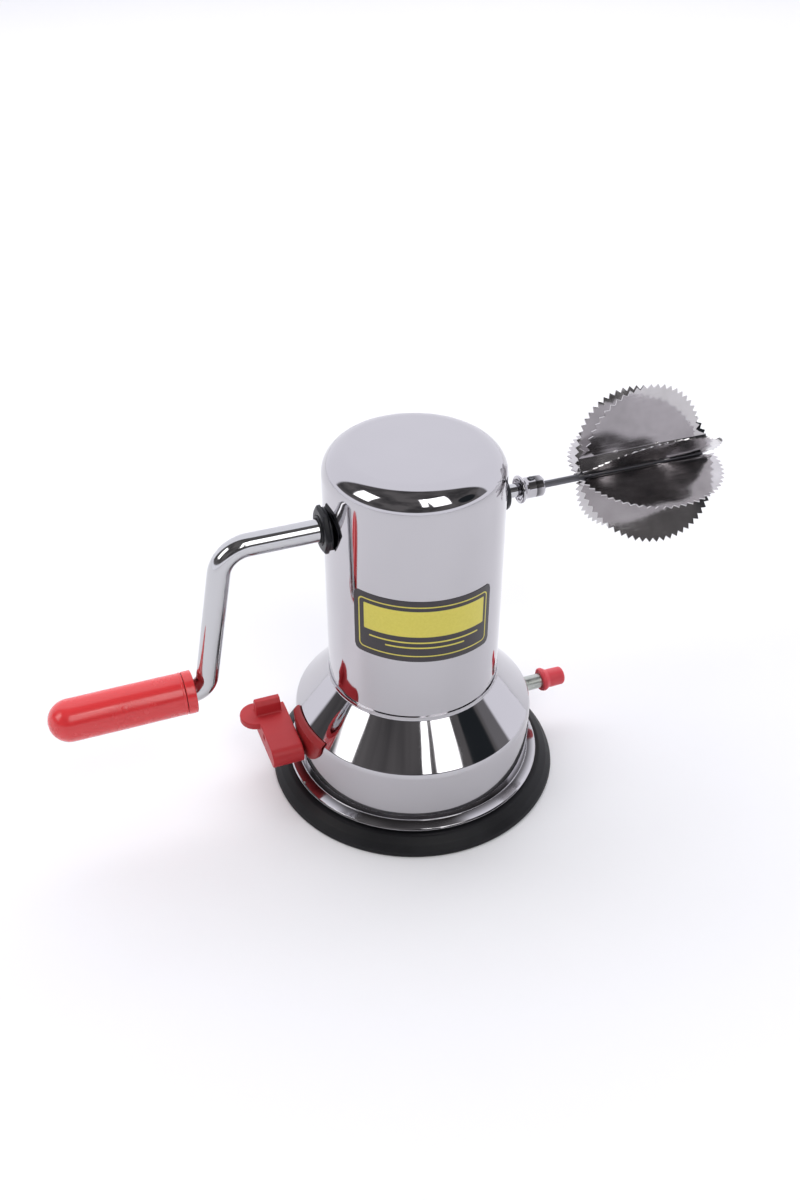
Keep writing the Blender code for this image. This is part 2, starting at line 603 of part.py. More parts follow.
def make_shaft_fittings(parts, cutters, red):
    """Saddle plate that hangs from the shoulder behind the lever, and the far end's bush and cap."""
    back = math.radians(10.5)
    span = math.radians(34.5)
    inner = SHELL_RADIUS + 0.35 * MM
    saddle_points = [(inner - 2.0 * MM, SHELL_SHOULDER_Z + 2.3 * MM),
                     (inner, SHELL_SHOULDER_Z + 0.1 * MM), (inner, 18.0 * MM)]
    saddle = add_object("lever_saddle_plate", profile_mesh("saddle", saddle_points, False), red,
                        parts, rotation=(0, 0, math.pi - back))
    add_screw(saddle, 8, span)
    solidify(saddle, 1.2 * MM, 1)
    outline = rod_cutter("saddle_outline_cutter", cutters, 14.4 * MM, 30 * MM,
                         (-SHELL_RADIUS, -5.6 * MM, SHELL_SHOULDER_Z + 0.9 * MM), "X", 32)
    boss = rod_cutter("saddle_boss_cutter", cutters, 6.4 * MM, 29 * MM, (-SHELL_RADIUS, 0, CAM_Z),
                      "X", 24)
    boolean(outline, boss, "UNION")
    boolean(saddle, outline, "INTERSECT")
    hole = rod_cutter("saddle_hole_cutter", cutters, CAM_SHAFT_RADIUS + 0.5 * MM, 20 * MM,
                      (-SHELL_RADIUS, 0, CAM_Z))
    boolean(saddle, hole, "DIFFERENCE")
    flange_x = SHELL_RADIUS + 0.3 * MM
    bore = CAM_SHAFT_END_RADIUS + 0.4 * MM
    bush = [(flange_x + 1.3 * MM, 5.4 * MM), (flange_x + 0.9 * MM, 5.9 * MM), (flange_x, 5.9 * MM),
            (flange_x, bore + 0.6 * MM), (flange_x - 4 * MM, bore + 0.6 * MM),
            (flange_x - 4 * MM, bore), (flange_x + 1.3 * MM, bore)]
    turned_x("shaft_bush", bush, red, parts, True, CAM_Z, 16)
    mouth = CAM_SHAFT_END_RADIUS + GAP
    bore = CAM_SHAFT_RADIUS + GAP
    cap = [(CAP_TIP_X, 0), (CAP_TIP_X - 0.5 * MM, 3.0 * MM), (CAP_TIP_X - 1.8 * MM, 4.2 * MM),
           (CAP_X + 3.6 * MM, 4.4 * MM), (CAP_X + 2.4 * MM, 5.9 * MM), (CAP_X + 0.4 * MM, 6.0 * MM),
           (CAP_X, 5.5 * MM), (CAP_X, mouth), (CAP_X + 1.7 * MM, mouth), (CAP_X + 1.7 * MM, bore),
           (CAP_TIP_X - 1.7 * MM, bore), (CAP_TIP_X - 1.7 * MM, 0)]
    turned_x("shaft_end_cap", cap, red, parts, False, CAM_Z, 16)


# ---- suction pad ---------------------------------------------------------------
def make_suction_stud(parts, cutters, steel):
    """Yoke round the cam with a stem whose head is moulded into the pad boss."""
    slot_half = 11.2 * MM
    slot_height = CAM_RADIUS + 0.5 * MM
    wall = 2.3 * MM
    yoke_z = CAM_Z + CAM_THROW * math.sin(CAM_REST)
    outer_w = slot_half + wall
    outer_h = slot_height + wall
    outer = [(-outer_w, -outer_h), (outer_w, -outer_h), (outer_w, outer_h), (-outer_w, outer_h)]
    inner = [(-slot_half, -slot_height), (slot_half, -slot_height), (slot_half, slot_height),
             (-slot_half, slot_height)]
    yoke = add_object("suction_stud", plate_mesh("suction_stud", [outer, inner], 7 * MM, parts),
                      steel, parts, (0, 0, yoke_z), (math.pi / 2, 0, math.pi / 2))
    join_z = yoke_z - outer_h + 1.0 * MM
    stem = [(0, join_z), (4.0 * MM, join_z), (4.0 * MM, 3.3 * MM), (8.0 * MM, 3.3 * MM),
            (8.0 * MM, 1.7 * MM), (0, 1.7 * MM)]
    stem_obj = turned("stud_stem", stem, None, cutters, False, SMALL_ROUND)
    hide_as_cutter(stem_obj)
    boolean(yoke, stem_obj, "UNION")


def make_pad(parts, rubber):
    """Rubber pad: outer ring under the rim, thin web, and the centre boss."""
    ring_inner = 46.5 * MM
    ring = [
        (51.2 * MM, 9.5 * MM), (51.6 * MM, 7.2 * MM), (59.2 * MM, 7.0 * MM),
        (62.6 * MM, 4.6 * MM), (64.8 * MM, 2.2 * MM), (PAD_RADIUS, 0.9 * MM),
        (PAD_RADIUS - 0.4 * MM, 0), (ring_inner + 2 * MM, 0), (ring_inner, 2.4 * MM),
        (ring_inner, 9.5 * MM),
    ]
    turned("pad_ring", ring, rubber, parts, True)
    boss_radius = 14 * MM
    boss = [
        (boss_radius - 0.8 * MM, 5.0 * MM), (boss_radius, 4.0 * MM), (boss_radius, 0.8 * MM),
        (boss_radius - 0.8 * MM, 0), (0, 0),
    ]
    socket = [(0, 1.4 * MM), (8.3 * MM, 1.4 * MM), (8.3 * MM, 3.6 * MM), (4.3 * MM, 3.6 * MM),
              (4.3 * MM, 5.0 * MM)]
    turned("pad_boss", socket + boss, rubber, parts, False, 32)
    web_outer = ring_inner - GAP
    web_inner = boss_radius + GAP
    web = [
        (web_outer, 7.0 * MM), (web_outer, 5.6 * MM), (web_inner + 4 * MM, 1.4 * MM),
        (web_inner, 1.2 * MM), (web_inner, 2.8 * MM), (web_inner + 4 * MM, 3.0 * MM),
    ]
    turned("pad_web", web, rubber, parts, True, 32)


# ---- assembly ------------------------------------------------------------------
def main():
    clear_scene()
    parts = new_collection("coconut_scraper")
    cutters = new_collection("cutters")
    steel = material("polished_steel", (0.75, 0.75, 0.78), 0.08, 1.0)
    chrome = material("chrome", (0.8, 0.8, 0.82), 0.06, 1.0)
    zinc = material("zinc_plate", (0.55, 0.57, 0.53), 0.35, 1.0)
    dark_steel = material("dark_steel", (0.15, 0.15, 0.17), 0.3, 1.0)
    nylon = material("black_nylon", (0.03, 0.03, 0.035), 0.4, 0.0)
    red = material("red_plastic", (0.65, 0.04, 0.04), 0.3, 0.0)
    rubber = material("black_rubber", (0.02, 0.02, 0.022), 0.6, 0.0)
    label_black = material("label_black", (0.03, 0.03, 0.04), 0.4, 0.0)

    make_body_cup(parts, cutters, steel)
    make_base_shell(parts, cutters, steel)
    make_neck_ring(parts, steel)
    make_cam_carrier(parts, cutters, zinc)
    make_name_plate(parts, label_black)
    make_bearing(parts, cutters, nylon)
    make_crank_rod(parts, chrome)
    make_grip(parts, red, zinc)
    make_coupling(parts, cutters, steel, dark_steel)
    for index, fold in enumerate(FOLDS, start=1):
        make_blade(index, fold, parts, steel)
    make_cam_shaft(parts, cutters, zinc)
    make_clips(parts, zinc)
    make_cam(parts, cutters, zinc)
    make_lever(parts, cutters, red, zinc)
    make_shaft_fittings(parts, cutters, red)
    make_suction_stud(parts, cutters, zinc)
    make_pad(parts, rubber)


main()
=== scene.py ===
"""Looks for the hand-cranked coconut scraper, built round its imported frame.

Row frame: metres, +Z up, +X along the crank shaft towards the blades, -Y towards the label.
"""

from math import atan2, ceil, cos, hypot, pi, radians, sin, sqrt, tan, tau

import bmesh
import bpy
from mathutils import Matrix, Vector, geometry


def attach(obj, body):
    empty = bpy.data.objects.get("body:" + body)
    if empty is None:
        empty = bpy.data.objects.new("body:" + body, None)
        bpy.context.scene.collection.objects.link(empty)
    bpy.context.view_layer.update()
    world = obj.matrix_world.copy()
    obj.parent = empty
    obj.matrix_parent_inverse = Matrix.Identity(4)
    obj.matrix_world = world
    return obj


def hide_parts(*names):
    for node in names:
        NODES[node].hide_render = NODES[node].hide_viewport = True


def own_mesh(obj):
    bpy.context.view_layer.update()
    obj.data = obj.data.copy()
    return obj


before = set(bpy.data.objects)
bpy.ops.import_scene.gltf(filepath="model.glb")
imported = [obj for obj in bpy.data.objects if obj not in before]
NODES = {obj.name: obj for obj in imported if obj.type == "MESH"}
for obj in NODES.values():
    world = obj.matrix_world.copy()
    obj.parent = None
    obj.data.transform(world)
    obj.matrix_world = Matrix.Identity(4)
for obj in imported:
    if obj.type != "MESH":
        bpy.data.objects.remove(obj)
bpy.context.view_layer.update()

MM = 0.001                          # shapes are laid out in millimetres, scenes in metres

# ---- driving dimensions ----
BODY_RADIUS = 37.5
BODY_TOP = 165.4
SHEET = 0.8
SHOULDER_FILLET = 10.5
NECK_Z = 54.4
COLLAR_RADIUS = BODY_RADIUS + 0.5
COLLAR_TOP = NECK_Z + 2.2
SHELL_RADIUS = 53.4
SHELL_SHOULDER_Z = 37.1
LIP_RADIUS = 57.8
LIP_Z = 8.8
PAD_RADIUS = 65.4
SHAFT_Z = 135.8
ROD_RADIUS = 4.7
STUB_RADIUS = 2.9
BUSH_RADIUS = 6.0
BUSH_BORE = 5.1
CRANK_BEND_X = -80.7
GRIP_BEND_X = -93.4
CRANK_THROW = 67.0
GRIP_Z = SHAFT_Z - CRANK_THROW
GRIP_RADIUS = 9.0
GRIP_INNER_X = -98.6
GRIP_TIP_X = -158.7
HEAD_X = 107.5
HEAD_RADIUS = 33.3
BLADE_ROD_RADIUS = 1.5

# each folded disc: its fold's direction seen along the rod from the right (0 is to the front,
# 90 is up), then how far its lower and its upper wing lean away from that direction
FOLDS = [(-26, 23.5, 23.5), (71, 25.5, 23), (150, 23.5, 23.5), (240, 23.5, 23.5)]
# one disc is bent twice on its upper side, which leaves a step between the strip and the wing
STEPPED_BLADE = 2
STEP_WIDTH = 5.8
STEP_LEAN = 53
STEP_HALF_LENGTH = 31.5
STEPPED_WING_RADIUS = 28.2

CAM_Z = 25.4
CAM_SHAFT_RADIUS = 2.9
CAM_SHAFT_END_RADIUS = 3.5
CAP_X = 65.0
CAP_TIP_X = 77.3
LEVER_INNER_X = -55.6
LEVER_WIDTH = 14.2
LEVER_OUTER_X = LEVER_INNER_X - LEVER_WIDTH

ROUND = 192                         # segments round the large turned pieces
MEDIUM = 96
SMALL = 64


# ---- mesh helpers ----
def mesh_object(name, bm, mat, sharp=32.0):
    """The bmesh, laid out in millimetres, as an object that is smooth except at real edges."""
    bmesh.ops.recalc_face_normals(bm, faces=bm.faces)
    bm.transform(Matrix.Scale(MM, 4))
    mesh = bpy.data.meshes.new(name)
    bm.to_mesh(mesh)
    bm.free()
    mesh.shade_smooth()
    mesh.set_sharp_from_angle(angle=radians(sharp))
    obj = bpy.data.objects.new(name, mesh)
    bpy.context.scene.collection.objects.link(obj)
    if mat:
        mesh.materials.append(mat)
    return obj


def rounded(points, steps=8, hold=0.12):
    """A 2-D path whose corners are rounded: each point is (a, b) or (a, b, radius).

    A short straight piece is kept beside each round so that the flats shade flat."""
    path = []
    count = len(points)
    for i, point in enumerate(points):
        corner = Vector(point[:2])
        radius = point[2] if len(point) > 2 else 0.0
        if radius <= 0.0 or i in (0, count - 1):
            path.append(corner)
            continue
        before = Vector(points[i - 1][:2]) - corner
        after = Vector(points[i + 1][:2]) - corner
        to_before = before.normalized()
        to_after = after.normalized()
        half = to_before.angle(to_after) / 2
        if half > radians(89):
            path.append(corner)
            continue
        reach = min(radius / tan(half), 0.48 * before.length, 0.48 * after.length)
        radius = reach * tan(half)
        centre = corner + (to_before + to_after).normalized() * (radius / sin(half))
        start = corner + to_before * reach - centre
        end = corner + to_after * reach - centre
        sweep = start.angle_signed(end)
        if before.length - reach > 4 * hold:
            path.append(centre + start + to_before * hold)
        for k in range(steps + 1):
            path.append(centre + Matrix.Rotation(-sweep * k / steps, 2) @ start)
        if after.length - reach > 4 * hold:
            path.append(centre + end + to_after * hold)
    return [(p.x, p.y) for p in path]


def add_loops(path, spacing):
    """The same path with extra points so that no straight piece is longer than the spacing."""
    result = [path[0]]
    for a, b in zip(path, path[1:]):
        length = hypot(b[0] - a[0], b[1] - a[1])
        pieces = max(1, ceil(length / spacing))
        result += [(a[0] + (b[0] - a[0]) * k / pieces, a[1] + (b[1] - a[1]) * k / pieces)
            for k in range(1, pieces + 1)]
    return result


def bridge(bm, low, high):
    """Faces between two closed rings of vertices; either ring may be a single point."""
    count = max(len(low), len(high))
    for k in range(count):
        n = (k + 1) % count
        if len(low) == 1:
            bm.faces.new((low[0], high[k], high[n]))
        elif len(high) == 1:
            bm.faces.new((low[k], low[n], high[0]))
        else:
            bm.faces.new((low[k], low[n], high[n], high[k]))


def lathe(name, path, mat, segments=ROUND, axis="Z", height=0.0, closed=False, wobble=None):
    """A turned piece. The path holds (radius, place along the axis) pairs.

    axis Z turns about the upright through the origin, X about the line at that height."""
    bm = bmesh.new()
    rings = []
    for radius, along in path:
        if radius < 1e-7:
            ring = [(0.0, 0.0)]
        else:
            ring = [(radius * cos(tau * k / segments),
                radius * sin(tau * k / segments)) for k in range(segments)]
        verts = []
        for u, v in ring:
            place = (u, v, along) if axis == "Z" else (along, u, height + v)
            if wobble:
                place = wobble(*place)
            verts.append(bm.verts.new(place))
        rings.append(verts)
    pairs = list(zip(rings, rings[1:]))
    if closed:
        pairs.append((rings[-1], rings[0]))
    for low, high in pairs:
        bridge(bm, low, high)
    return mesh_object(name, bm, mat)


def turned(name, corners, steps, mat, segments, height, *where):
    """A turned ring-like piece along X with rounded corners; where is its body, slot and node."""
    obj = lathe(name, rounded(corners, steps), mat, segments, "X", height, closed=True)
    return piece(obj, *where)


def drill(radius, start, end, height):
    """A plain cylinder along X, to cut a hole with."""
    path = [(0, start), (radius, start), (radius, end), (0, end)]
    return lathe("drill", path, None, SMALL, "X", height)


def prism(name, outline, low, high, mat, place):
    """A flat plate with the given (a, b) outline, from low to high along the third axis."""
    bm = bmesh.new()
    bottom = [bm.verts.new(place(a, b, low)) for a, b in outline]
    top = [bm.verts.new(place(a, b, high)) for a, b in outline]
    bm.faces.new(bottom)
    bm.faces.new(top)
    bridge(bm, bottom, top)
    return mesh_object(name, bm, mat)


def thin_plate(bm, low, high):
    """Closes a plate given by its two faces, each a list of rows of vertices."""
    last = len(low[0]) - 1
    for rows in (low, high):
        for a, b in zip(rows, rows[1:]):
            for k in range(last):
                bm.faces.new((a[k], b[k], b[k + 1], a[k + 1]))
    for i in range(len(low) - 1):
        for k in (0, last):
            bm.faces.new((low[i][k], low[i + 1][k], high[i + 1][k], high[i][k]))
    for i in (0, len(low) - 1):
        for k in range(last):
            bm.faces.new((low[i][k], low[i][k + 1], high[i][k + 1], high[i][k]))


def add_bevel(obj, width, segments, angle):
    modify(obj, "BEVEL", width=width * MM, segments=segments, limit_method="ANGLE",
        angle_limit=radians(angle))


def modify(obj, kind, **settings):
    mod = obj.modifiers.new(kind.lower(), kind)
    for key, value in settings.items():
        setattr(mod, key, value)
    return mod


def bake(obj):
    """Replaces the object's mesh by what its modifiers make of it."""
    bpy.context.view_layer.update()
    evaluated = obj.evaluated_get(bpy.context.evaluated_depsgraph_get())
    mesh = bpy.data.meshes.new_from_object(evaluated)
    obj.modifiers.clear()
    obj.data = mesh
    return obj


def combine(obj, others, operation):
    """Joins, cuts or crosses the object with the others, which are used up."""
    for other in others:
        modify(obj, "BOOLEAN", operation=operation, solver="EXACT", object=other)
    bake(obj)
    for other in others:
        bpy.data.objects.remove(other, do_unlink=True)
    return obj


def soften(obj, voxel, passes):
    """Melts the edges of a moulded piece together: voxel remesh, then smoothing."""
    modify(obj, "REMESH", mode="VOXEL", voxel_size=voxel * MM, use_smooth_shade=True)
    modify(obj, "SMOOTH", factor=0.5, iterations=passes)
    bake(obj)
    obj.data.shade_smooth()
    return obj


def place_xyz(a, b, c):
    """Outline in the XY plane, thickness along Z."""
    return (a, b, c)


def place_yzx(a, b, c):
    """Outline in the YZ plane, thickness along X."""
    return (c, a, b)


def arc(centre, radius, start, end, steps):
    points = []
    for i in range(steps + 1):
        a = radians(start + (end - start) * i / steps)
        points.append((centre[0] + radius * cos(a), centre[1] + radius * sin(a)))
    return points


def piece(obj, body, slot, *nodes):
    """The object belongs to that body and stands for those CAD nodes, which it hides. The slot is
    not used.
    """
    if nodes:
        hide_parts(*nodes)
    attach(obj, body)
    return obj


# ---- material helpers ----
class Nodes:
    """A short way to write a node tree."""

    def __init__(self, tree):
        self.tree = tree
        self.tree.nodes.clear()

    def add(self, kind, inputs=None, **settings):
        node = self.tree.nodes.new(kind)
        for key, value in settings.items():
            setattr(node, key, value)
        for key, value in (inputs or {}).items():
            self.plug(node.inputs[key], value)
        return node

    def plug(self, socket, value):
        if isinstance(value, bpy.types.NodeSocket):
            self.tree.links.new(value, socket)
        elif isinstance(value, bpy.types.Node):
            self.tree.links.new(value.outputs[0], socket)
        else:
            socket.default_value = value

    def math(self, operation, a, b=0.0, clamp=False):
        node = self.add("ShaderNodeMath", {0: a, 1: b}, operation=operation, use_clamp=clamp)
        return node.outputs[0]

    def plus(self, a, b, clamp=False):
        return self.math("ADD", a, b, clamp)

    def minus(self, a, b):
        return self.math("SUBTRACT", a, b)

    def times(self, a, b):
        return self.math("MULTIPLY", a, b)

    def dot(self, ray, direction):
        return self.add("ShaderNodeVectorMath", {0: ray, 1: tuple(direction)},
            operation="DOT_PRODUCT").outputs["Value"]

    def clouds(self, value, low, high, dark, light):
        """One colour drifting into another as the value goes from low to high."""
        return self.mix(self.remap(value, low, high, 0.0, 1.0), (*dark, 1.0), (*light, 1.0))

    def noise(self, vector, scale, detail=3.0, roughness=0.5):
        node = self.add("ShaderNodeTexNoise", {"Vector": vector, "Scale": scale, "Detail": detail,
            "Roughness": roughness})
        return node.outputs[0]

    def remap(self, value, low, high, to_low, to_high, smooth=False):
        node = self.add("ShaderNodeMapRange", {0: value, 1: low, 2: high, 3: to_low, 4: to_high})
        if smooth:
            node.interpolation_type = "SMOOTHSTEP"
        return node.outputs[0]

    def mix(self, share, a, b):
        node = self.add("ShaderNodeMix", data_type="RGBA")
        self.plug(node.inputs[0], share)
        self.plug(node.inputs[6], a)
        self.plug(node.inputs[7], b)
        return node.outputs[2]

    def stretch(self, vector, scale):
        return self.add("ShaderNodeMapping", {"Vector": vector, "Scale": scale}).outputs[0]


def start_material(name):
    mat = bpy.data.materials.new(name)
    mat.use_nodes = True
    nodes = Nodes(mat.node_tree)
    place = nodes.add("ShaderNodeTexCoord").outputs["Object"]
    return mat, nodes, place


def place_in_mm(nodes, place):
    """The three coordinates of the place on the object, in millimetres."""
    return nodes.add("ShaderNodeSeparateXYZ", {0: nodes.stretch(place, (1 / MM,) * 3)}).outputs


def end_material(nodes, height=None, distance=0.0001, strength=1.0, **sockets):
    shader = nodes.add("ShaderNodeBsdfPrincipled")
    for key, value in sockets.items():
        nodes.plug(shader.inputs[key.replace("_", " ")], value)
    if height is not None:
        bump = nodes.add("ShaderNodeBump", {"Height": height, "Distance": distance,
            "Strength": strength})
        nodes.plug(shader.inputs["Normal"], bump)
    output = nodes.add("ShaderNodeOutputMaterial")
    nodes.plug(output.inputs["Surface"], shader)


def metal(name, colour, roughness, spread, wave=0.0, hairline=None, tint=0.04, corner_shade=False):
    """A metal with smudges, faint polishing lines and slightly uneven sheet.

    The corner shade option paints shade: the ring of ledge between the skirt and the lip is blended
    to near black and made rougher."""
    mat, nodes, place = start_material(name)
    smudge = nodes.noise(place, 38.0, 4.0, 0.6)
    rough = nodes.remap(smudge, 0.35, 0.75, roughness, roughness + spread)
    if hairline:
        lines = nodes.noise(nodes.stretch(place, hairline), 1.0, 2.0)
        rough = nodes.plus(rough, nodes.remap(lines, 0.45, 0.8, 0.0, spread))
    dark = tuple(c * (1.0 - tint) for c in colour)
    cloud = nodes.noise(place, 22.0, 2.0)
    shade = nodes.clouds(cloud, 0.3, 0.7, dark, colour)
    # painted shade on the ledge ring between the skirt and the lip
    if corner_shade:
        xyz = place_in_mm(nodes, place)
        flat = nodes.add("ShaderNodeCombineXYZ", {0: xyz[0], 1: xyz[1]})
        radius = nodes.add("ShaderNodeVectorMath", {0: flat}, operation="LENGTH").outputs["Value"]
        shade_share = nodes.math("MULTIPLY", nodes.remap(radius, SHELL_RADIUS + 0.1, SHELL_RADIUS + 0.4,
            0.0, 0.84), nodes.remap(radius, LIP_RADIUS - 3.4, LIP_RADIUS - 0.8, 1.0, 0.0))
        shade_share = nodes.times(shade_share, nodes.remap(cloud, 0.2, 0.8, 0.85, 1.0))
        # painted shade: the ledge ring blends to near black
        shade = nodes.mix(shade_share, shade, (0.028, 0.026, 0.027, 1.0))
        rough = nodes.plus(rough, nodes.times(shade_share, 0.10))
    height = nodes.noise(place, 60.0, 1.0, 0.3)
    end_material(nodes, height if wave else None, wave, 1.0, Base_Color=shade, Roughness=rough,
        Metallic=1.0)
    return mat


def plastic(name, colour, roughness, grain, speck=0.05, coat=0.0, specular=0.5):
    """A moulded plastic: faint flow clouding, fine surface grain, uneven gloss."""
    mat, nodes, place = start_material(name)
    dark = tuple(c * (1.0 - speck) for c in colour)
    flow = nodes.noise(nodes.stretch(place, (40.0, 120.0, 120.0)), 1.0, 3.0)
    shade = nodes.clouds(flow, 0.3, 0.7, dark, colour)
    smudge = nodes.noise(place, 120.0, 4.0, 0.6)
    rough = nodes.remap(smudge, 0.3, 0.75, roughness - 0.03, roughness + 0.07)
    height = nodes.noise(place, 2600.0, 2.0)
    end_material(nodes, height, grain, 1.0, Base_Color=shade, Roughness=rough, Metallic=0.0,
        Specular_IOR_Level=specular, Coat_Weight=coat, Coat_Roughness=0.08)
    return mat


def rubber_material():
    """Black moulded rubber: fine grain, a little dust and bloom in patches."""
    mat, nodes, place = start_material("rubber_black")
    bloom = nodes.noise(place, 55.0, 5.0, 0.65)
    shade = nodes.clouds(bloom, 0.45, 0.8, (0.0045, 0.0047, 0.0062), (0.0105, 0.0105, 0.0130))
    rough = nodes.remap(bloom, 0.3, 0.8, 0.42, 0.58)
    height = nodes.plus(nodes.noise(place, 1800.0, 2.0), nodes.noise(place, 320.0, 3.0))
    end_material(nodes, height, 0.00002, 0.6, Base_Color=shade, Roughness=rough, Metallic=0.0,
        Specular_IOR_Level=0.3)
    return mat


def blade_material():
    """Stamped stainless: cross-grain scratches and slight dishing of the thin sheet."""
    mat, nodes, place = start_material("blade_steel")
    scratch = nodes.noise(nodes.stretch(place, (90.0, 1500.0, 1500.0)), 1.0, 3.0, 0.6)
    smudge = nodes.noise(place, 60.0, 4.0, 0.6)
    rough = nodes.plus(nodes.remap(smudge, 0.3, 0.75, 0.07, 0.17),
        nodes.remap(scratch, 0.5, 0.85, 0.0, 0.12))
    shade = nodes.clouds(smudge, 0.3, 0.7, (0.50, 0.485, 0.49), (0.62, 0.60, 0.61))
    wave = nodes.noise(place, 45.0, 1.0, 0.3)
    height = nodes.plus(nodes.times(wave, 6.0), nodes.times(scratch, 0.02))
    end_material(nodes, height, 0.0002, 1.0, Base_Color=shade, Roughness=rough, Metallic=1.0)
    return mat


def zinc_material():
    """Zinc plate: greyish green, cloudy, with faint drawn lines along the bar."""
    mat, nodes, place = start_material("zinc_plate")
    cloud = nodes.noise(place, 260.0, 4.0, 0.65)
    shade = nodes.clouds(cloud, 0.3, 0.7, (0.40, 0.43, 0.40), (0.58, 0.60, 0.57))
    lines = nodes.noise(nodes.stretch(place, (60.0, 2500.0, 2500.0)), 1.0, 2.0)
    rough = nodes.remap(cloud, 0.3, 0.7, 0.26, 0.40)
    end_material(nodes, lines, 0.00003, 0.8, Base_Color=shade, Roughness=rough, Metallic=1.0)
    return mat


def label_material():
    """Printed film: black, with a thin yellow border, a plain yellow panel and two pin lines.

    The pattern is laid out by angle round the body and by height."""
    mat, nodes, place = start_material("label_film")
    xyz = place_in_mm(nodes, place)
    angle = nodes.math("ARCTAN2", xyz[0], nodes.times(xyz[1], -1.0))
    across = nodes.times(nodes.minus(angle, LABEL_CENTRE), BODY_RADIUS)
    up = nodes.minus(xyz[2], LABEL_MID_Z)
    up = nodes.minus(up, nodes.times(across, LABEL_TILT))

    def inside(centre_a, centre_b, half_a, half_b, corner):
        """1 inside a rounded rectangle, with a soft printed edge."""
        a = nodes.math("ABSOLUTE", nodes.minus(across, centre_a))
        b = nodes.math("ABSOLUTE", nodes.minus(up, centre_b))
        a = nodes.math("MAXIMUM", nodes.minus(a, half_a - corner), 0.0)
        b = nodes.math("MAXIMUM", nodes.minus(b, half_b - corner), 0.0)
        away = nodes.math("SQRT", nodes.plus(nodes.times(a, a), nodes.times(b, b)))
        return nodes.remap(away, corner - 0.06, corner + 0.06, 1.0, 0.0)

    line = 0.55
    frame_a = LABEL_HALF_WIDTH - 2.3
    frame_b = LABEL_HALF_HEIGHT - 2.6
    border = nodes.minus(inside(0.0, 0.0, frame_a, frame_b, 2.2),
        inside(0.0, 0.0, frame_a - line, frame_b - line, 1.8))
    panel = inside(0.3, 3.9, frame_a - 2.3, 6.4, 0.5)
    pins = nodes.plus(inside(0.0, -5.4, frame_a - 5.0, 0.35, 0.3),
        inside(0.0, -8.0, frame_a - 12.0, 0.35, 0.3))
    ink = nodes.plus(nodes.plus(border, panel), pins, True)
    speck = nodes.noise(place, 900.0, 3.0)
    yellow = nodes.mix(speck, (0.62, 0.54, 0.075, 1.0), (0.72, 0.64, 0.11, 1.0))
    black = nodes.mix(speck, (0.026, 0.022, 0.026, 1.0), (0.040, 0.034, 0.040, 1.0))
    shade = nodes.mix(ink, black, yellow)
    rough = nodes.remap(speck, 0.3, 0.7, 0.30, 0.42)
    height = nodes.plus(speck, nodes.times(ink, 2.0))
    end_material(nodes, height, 0.00001, 0.6, Base_Color=shade, Roughness=rough, Metallic=0.0)
    return mat


LABEL_CENTRE = radians(-13.5)
LABEL_SPAN = radians(95)
LABEL_HALF_WIDTH = LABEL_SPAN / 2 * BODY_RADIUS
LABEL_HALF_HEIGHT = 15.2
LABEL_MID_Z = 101.8
LABEL_TILT = -0.042                 # the film was stuck on a little askew

# the polished steel carries painted shade on the ledge between the skirt and the lip
STEEL = metal("polished_stainless", (0.520, 0.508, 0.530), 0.035, 0.05, wave=0.00006, corner_shade=True)
CHROME = metal("crank_chrome", (0.56, 0.56, 0.575), 0.07, 0.06, wave=0.00003)
BLADE = blade_material()
ZINC = zinc_material()
DARK_ROD = metal("dark_rod_steel", (0.16, 0.16, 0.175), 0.25, 0.12,
    hairline=(120.0, 2400.0, 2400.0), tint=0.3)
NYLON = plastic("black_nylon", (0.006, 0.0065, 0.0095), 0.36, 0.000012, 0.2, specular=0.3)
GRIP_RED = plastic("grip_red", (0.72, 0.035, 0.04), 0.24, 0.000004, 0.06, coat=0.3)
LEVER_RED = plastic("lever_red", (0.47, 0.022, 0.028), 0.42, 0.000012, 0.08, specular=0.35)
# the lever's red plastic darkened as painted shade, for the shadow the lever casts on the saddle
# plate
LEVER_RED_SHADED = plastic("lever_red_painted_shade", (0.30, 0.015, 0.017), 0.40, 0.000012, 0.08, specular=0.35)
CAP_RED = plastic("cap_red", (0.70, 0.055, 0.075), 0.36, 0.000010, 0.06)
RUBBER = rubber_material()
LABEL = label_material()


# ---- body ----
def make_body_cup():
    """Deep-drawn cup: slightly domed top, round shoulder, rolled foot in the neck."""
    foot = NECK_Z - 5.6
    inner = BODY_RADIUS - SHEET
    outside = [(0.0, BODY_TOP), (14, BODY_TOP - 0.08),
        (BODY_RADIUS, BODY_TOP - 0.4, SHOULDER_FILLET), (BODY_RADIUS, foot)]
    band = 7.4
    path = rounded(outside, 28)[:-1]
    path += [(BODY_RADIUS, z) for z in (SHAFT_Z + band, SHAFT_Z - band, 118, 90, 62, foot)]
    path += [(inner, foot), (inner, SHAFT_Z - band), (inner, SHAFT_Z + band),
        (inner, BODY_TOP - SHOULDER_FILLET), (inner - 4, BODY_TOP - 4),
        (inner - 10, BODY_TOP - 1.4), (0.0, BODY_TOP - 0.9)]
    cup = lathe("cup_drawn", path, STEEL)
    combine(cup, [drill(BUSH_RADIUS + 0.25, -50, 50, SHAFT_Z)], "DIFFERENCE")
    piece(cup, "base", "polished_stainless", "body_cup")


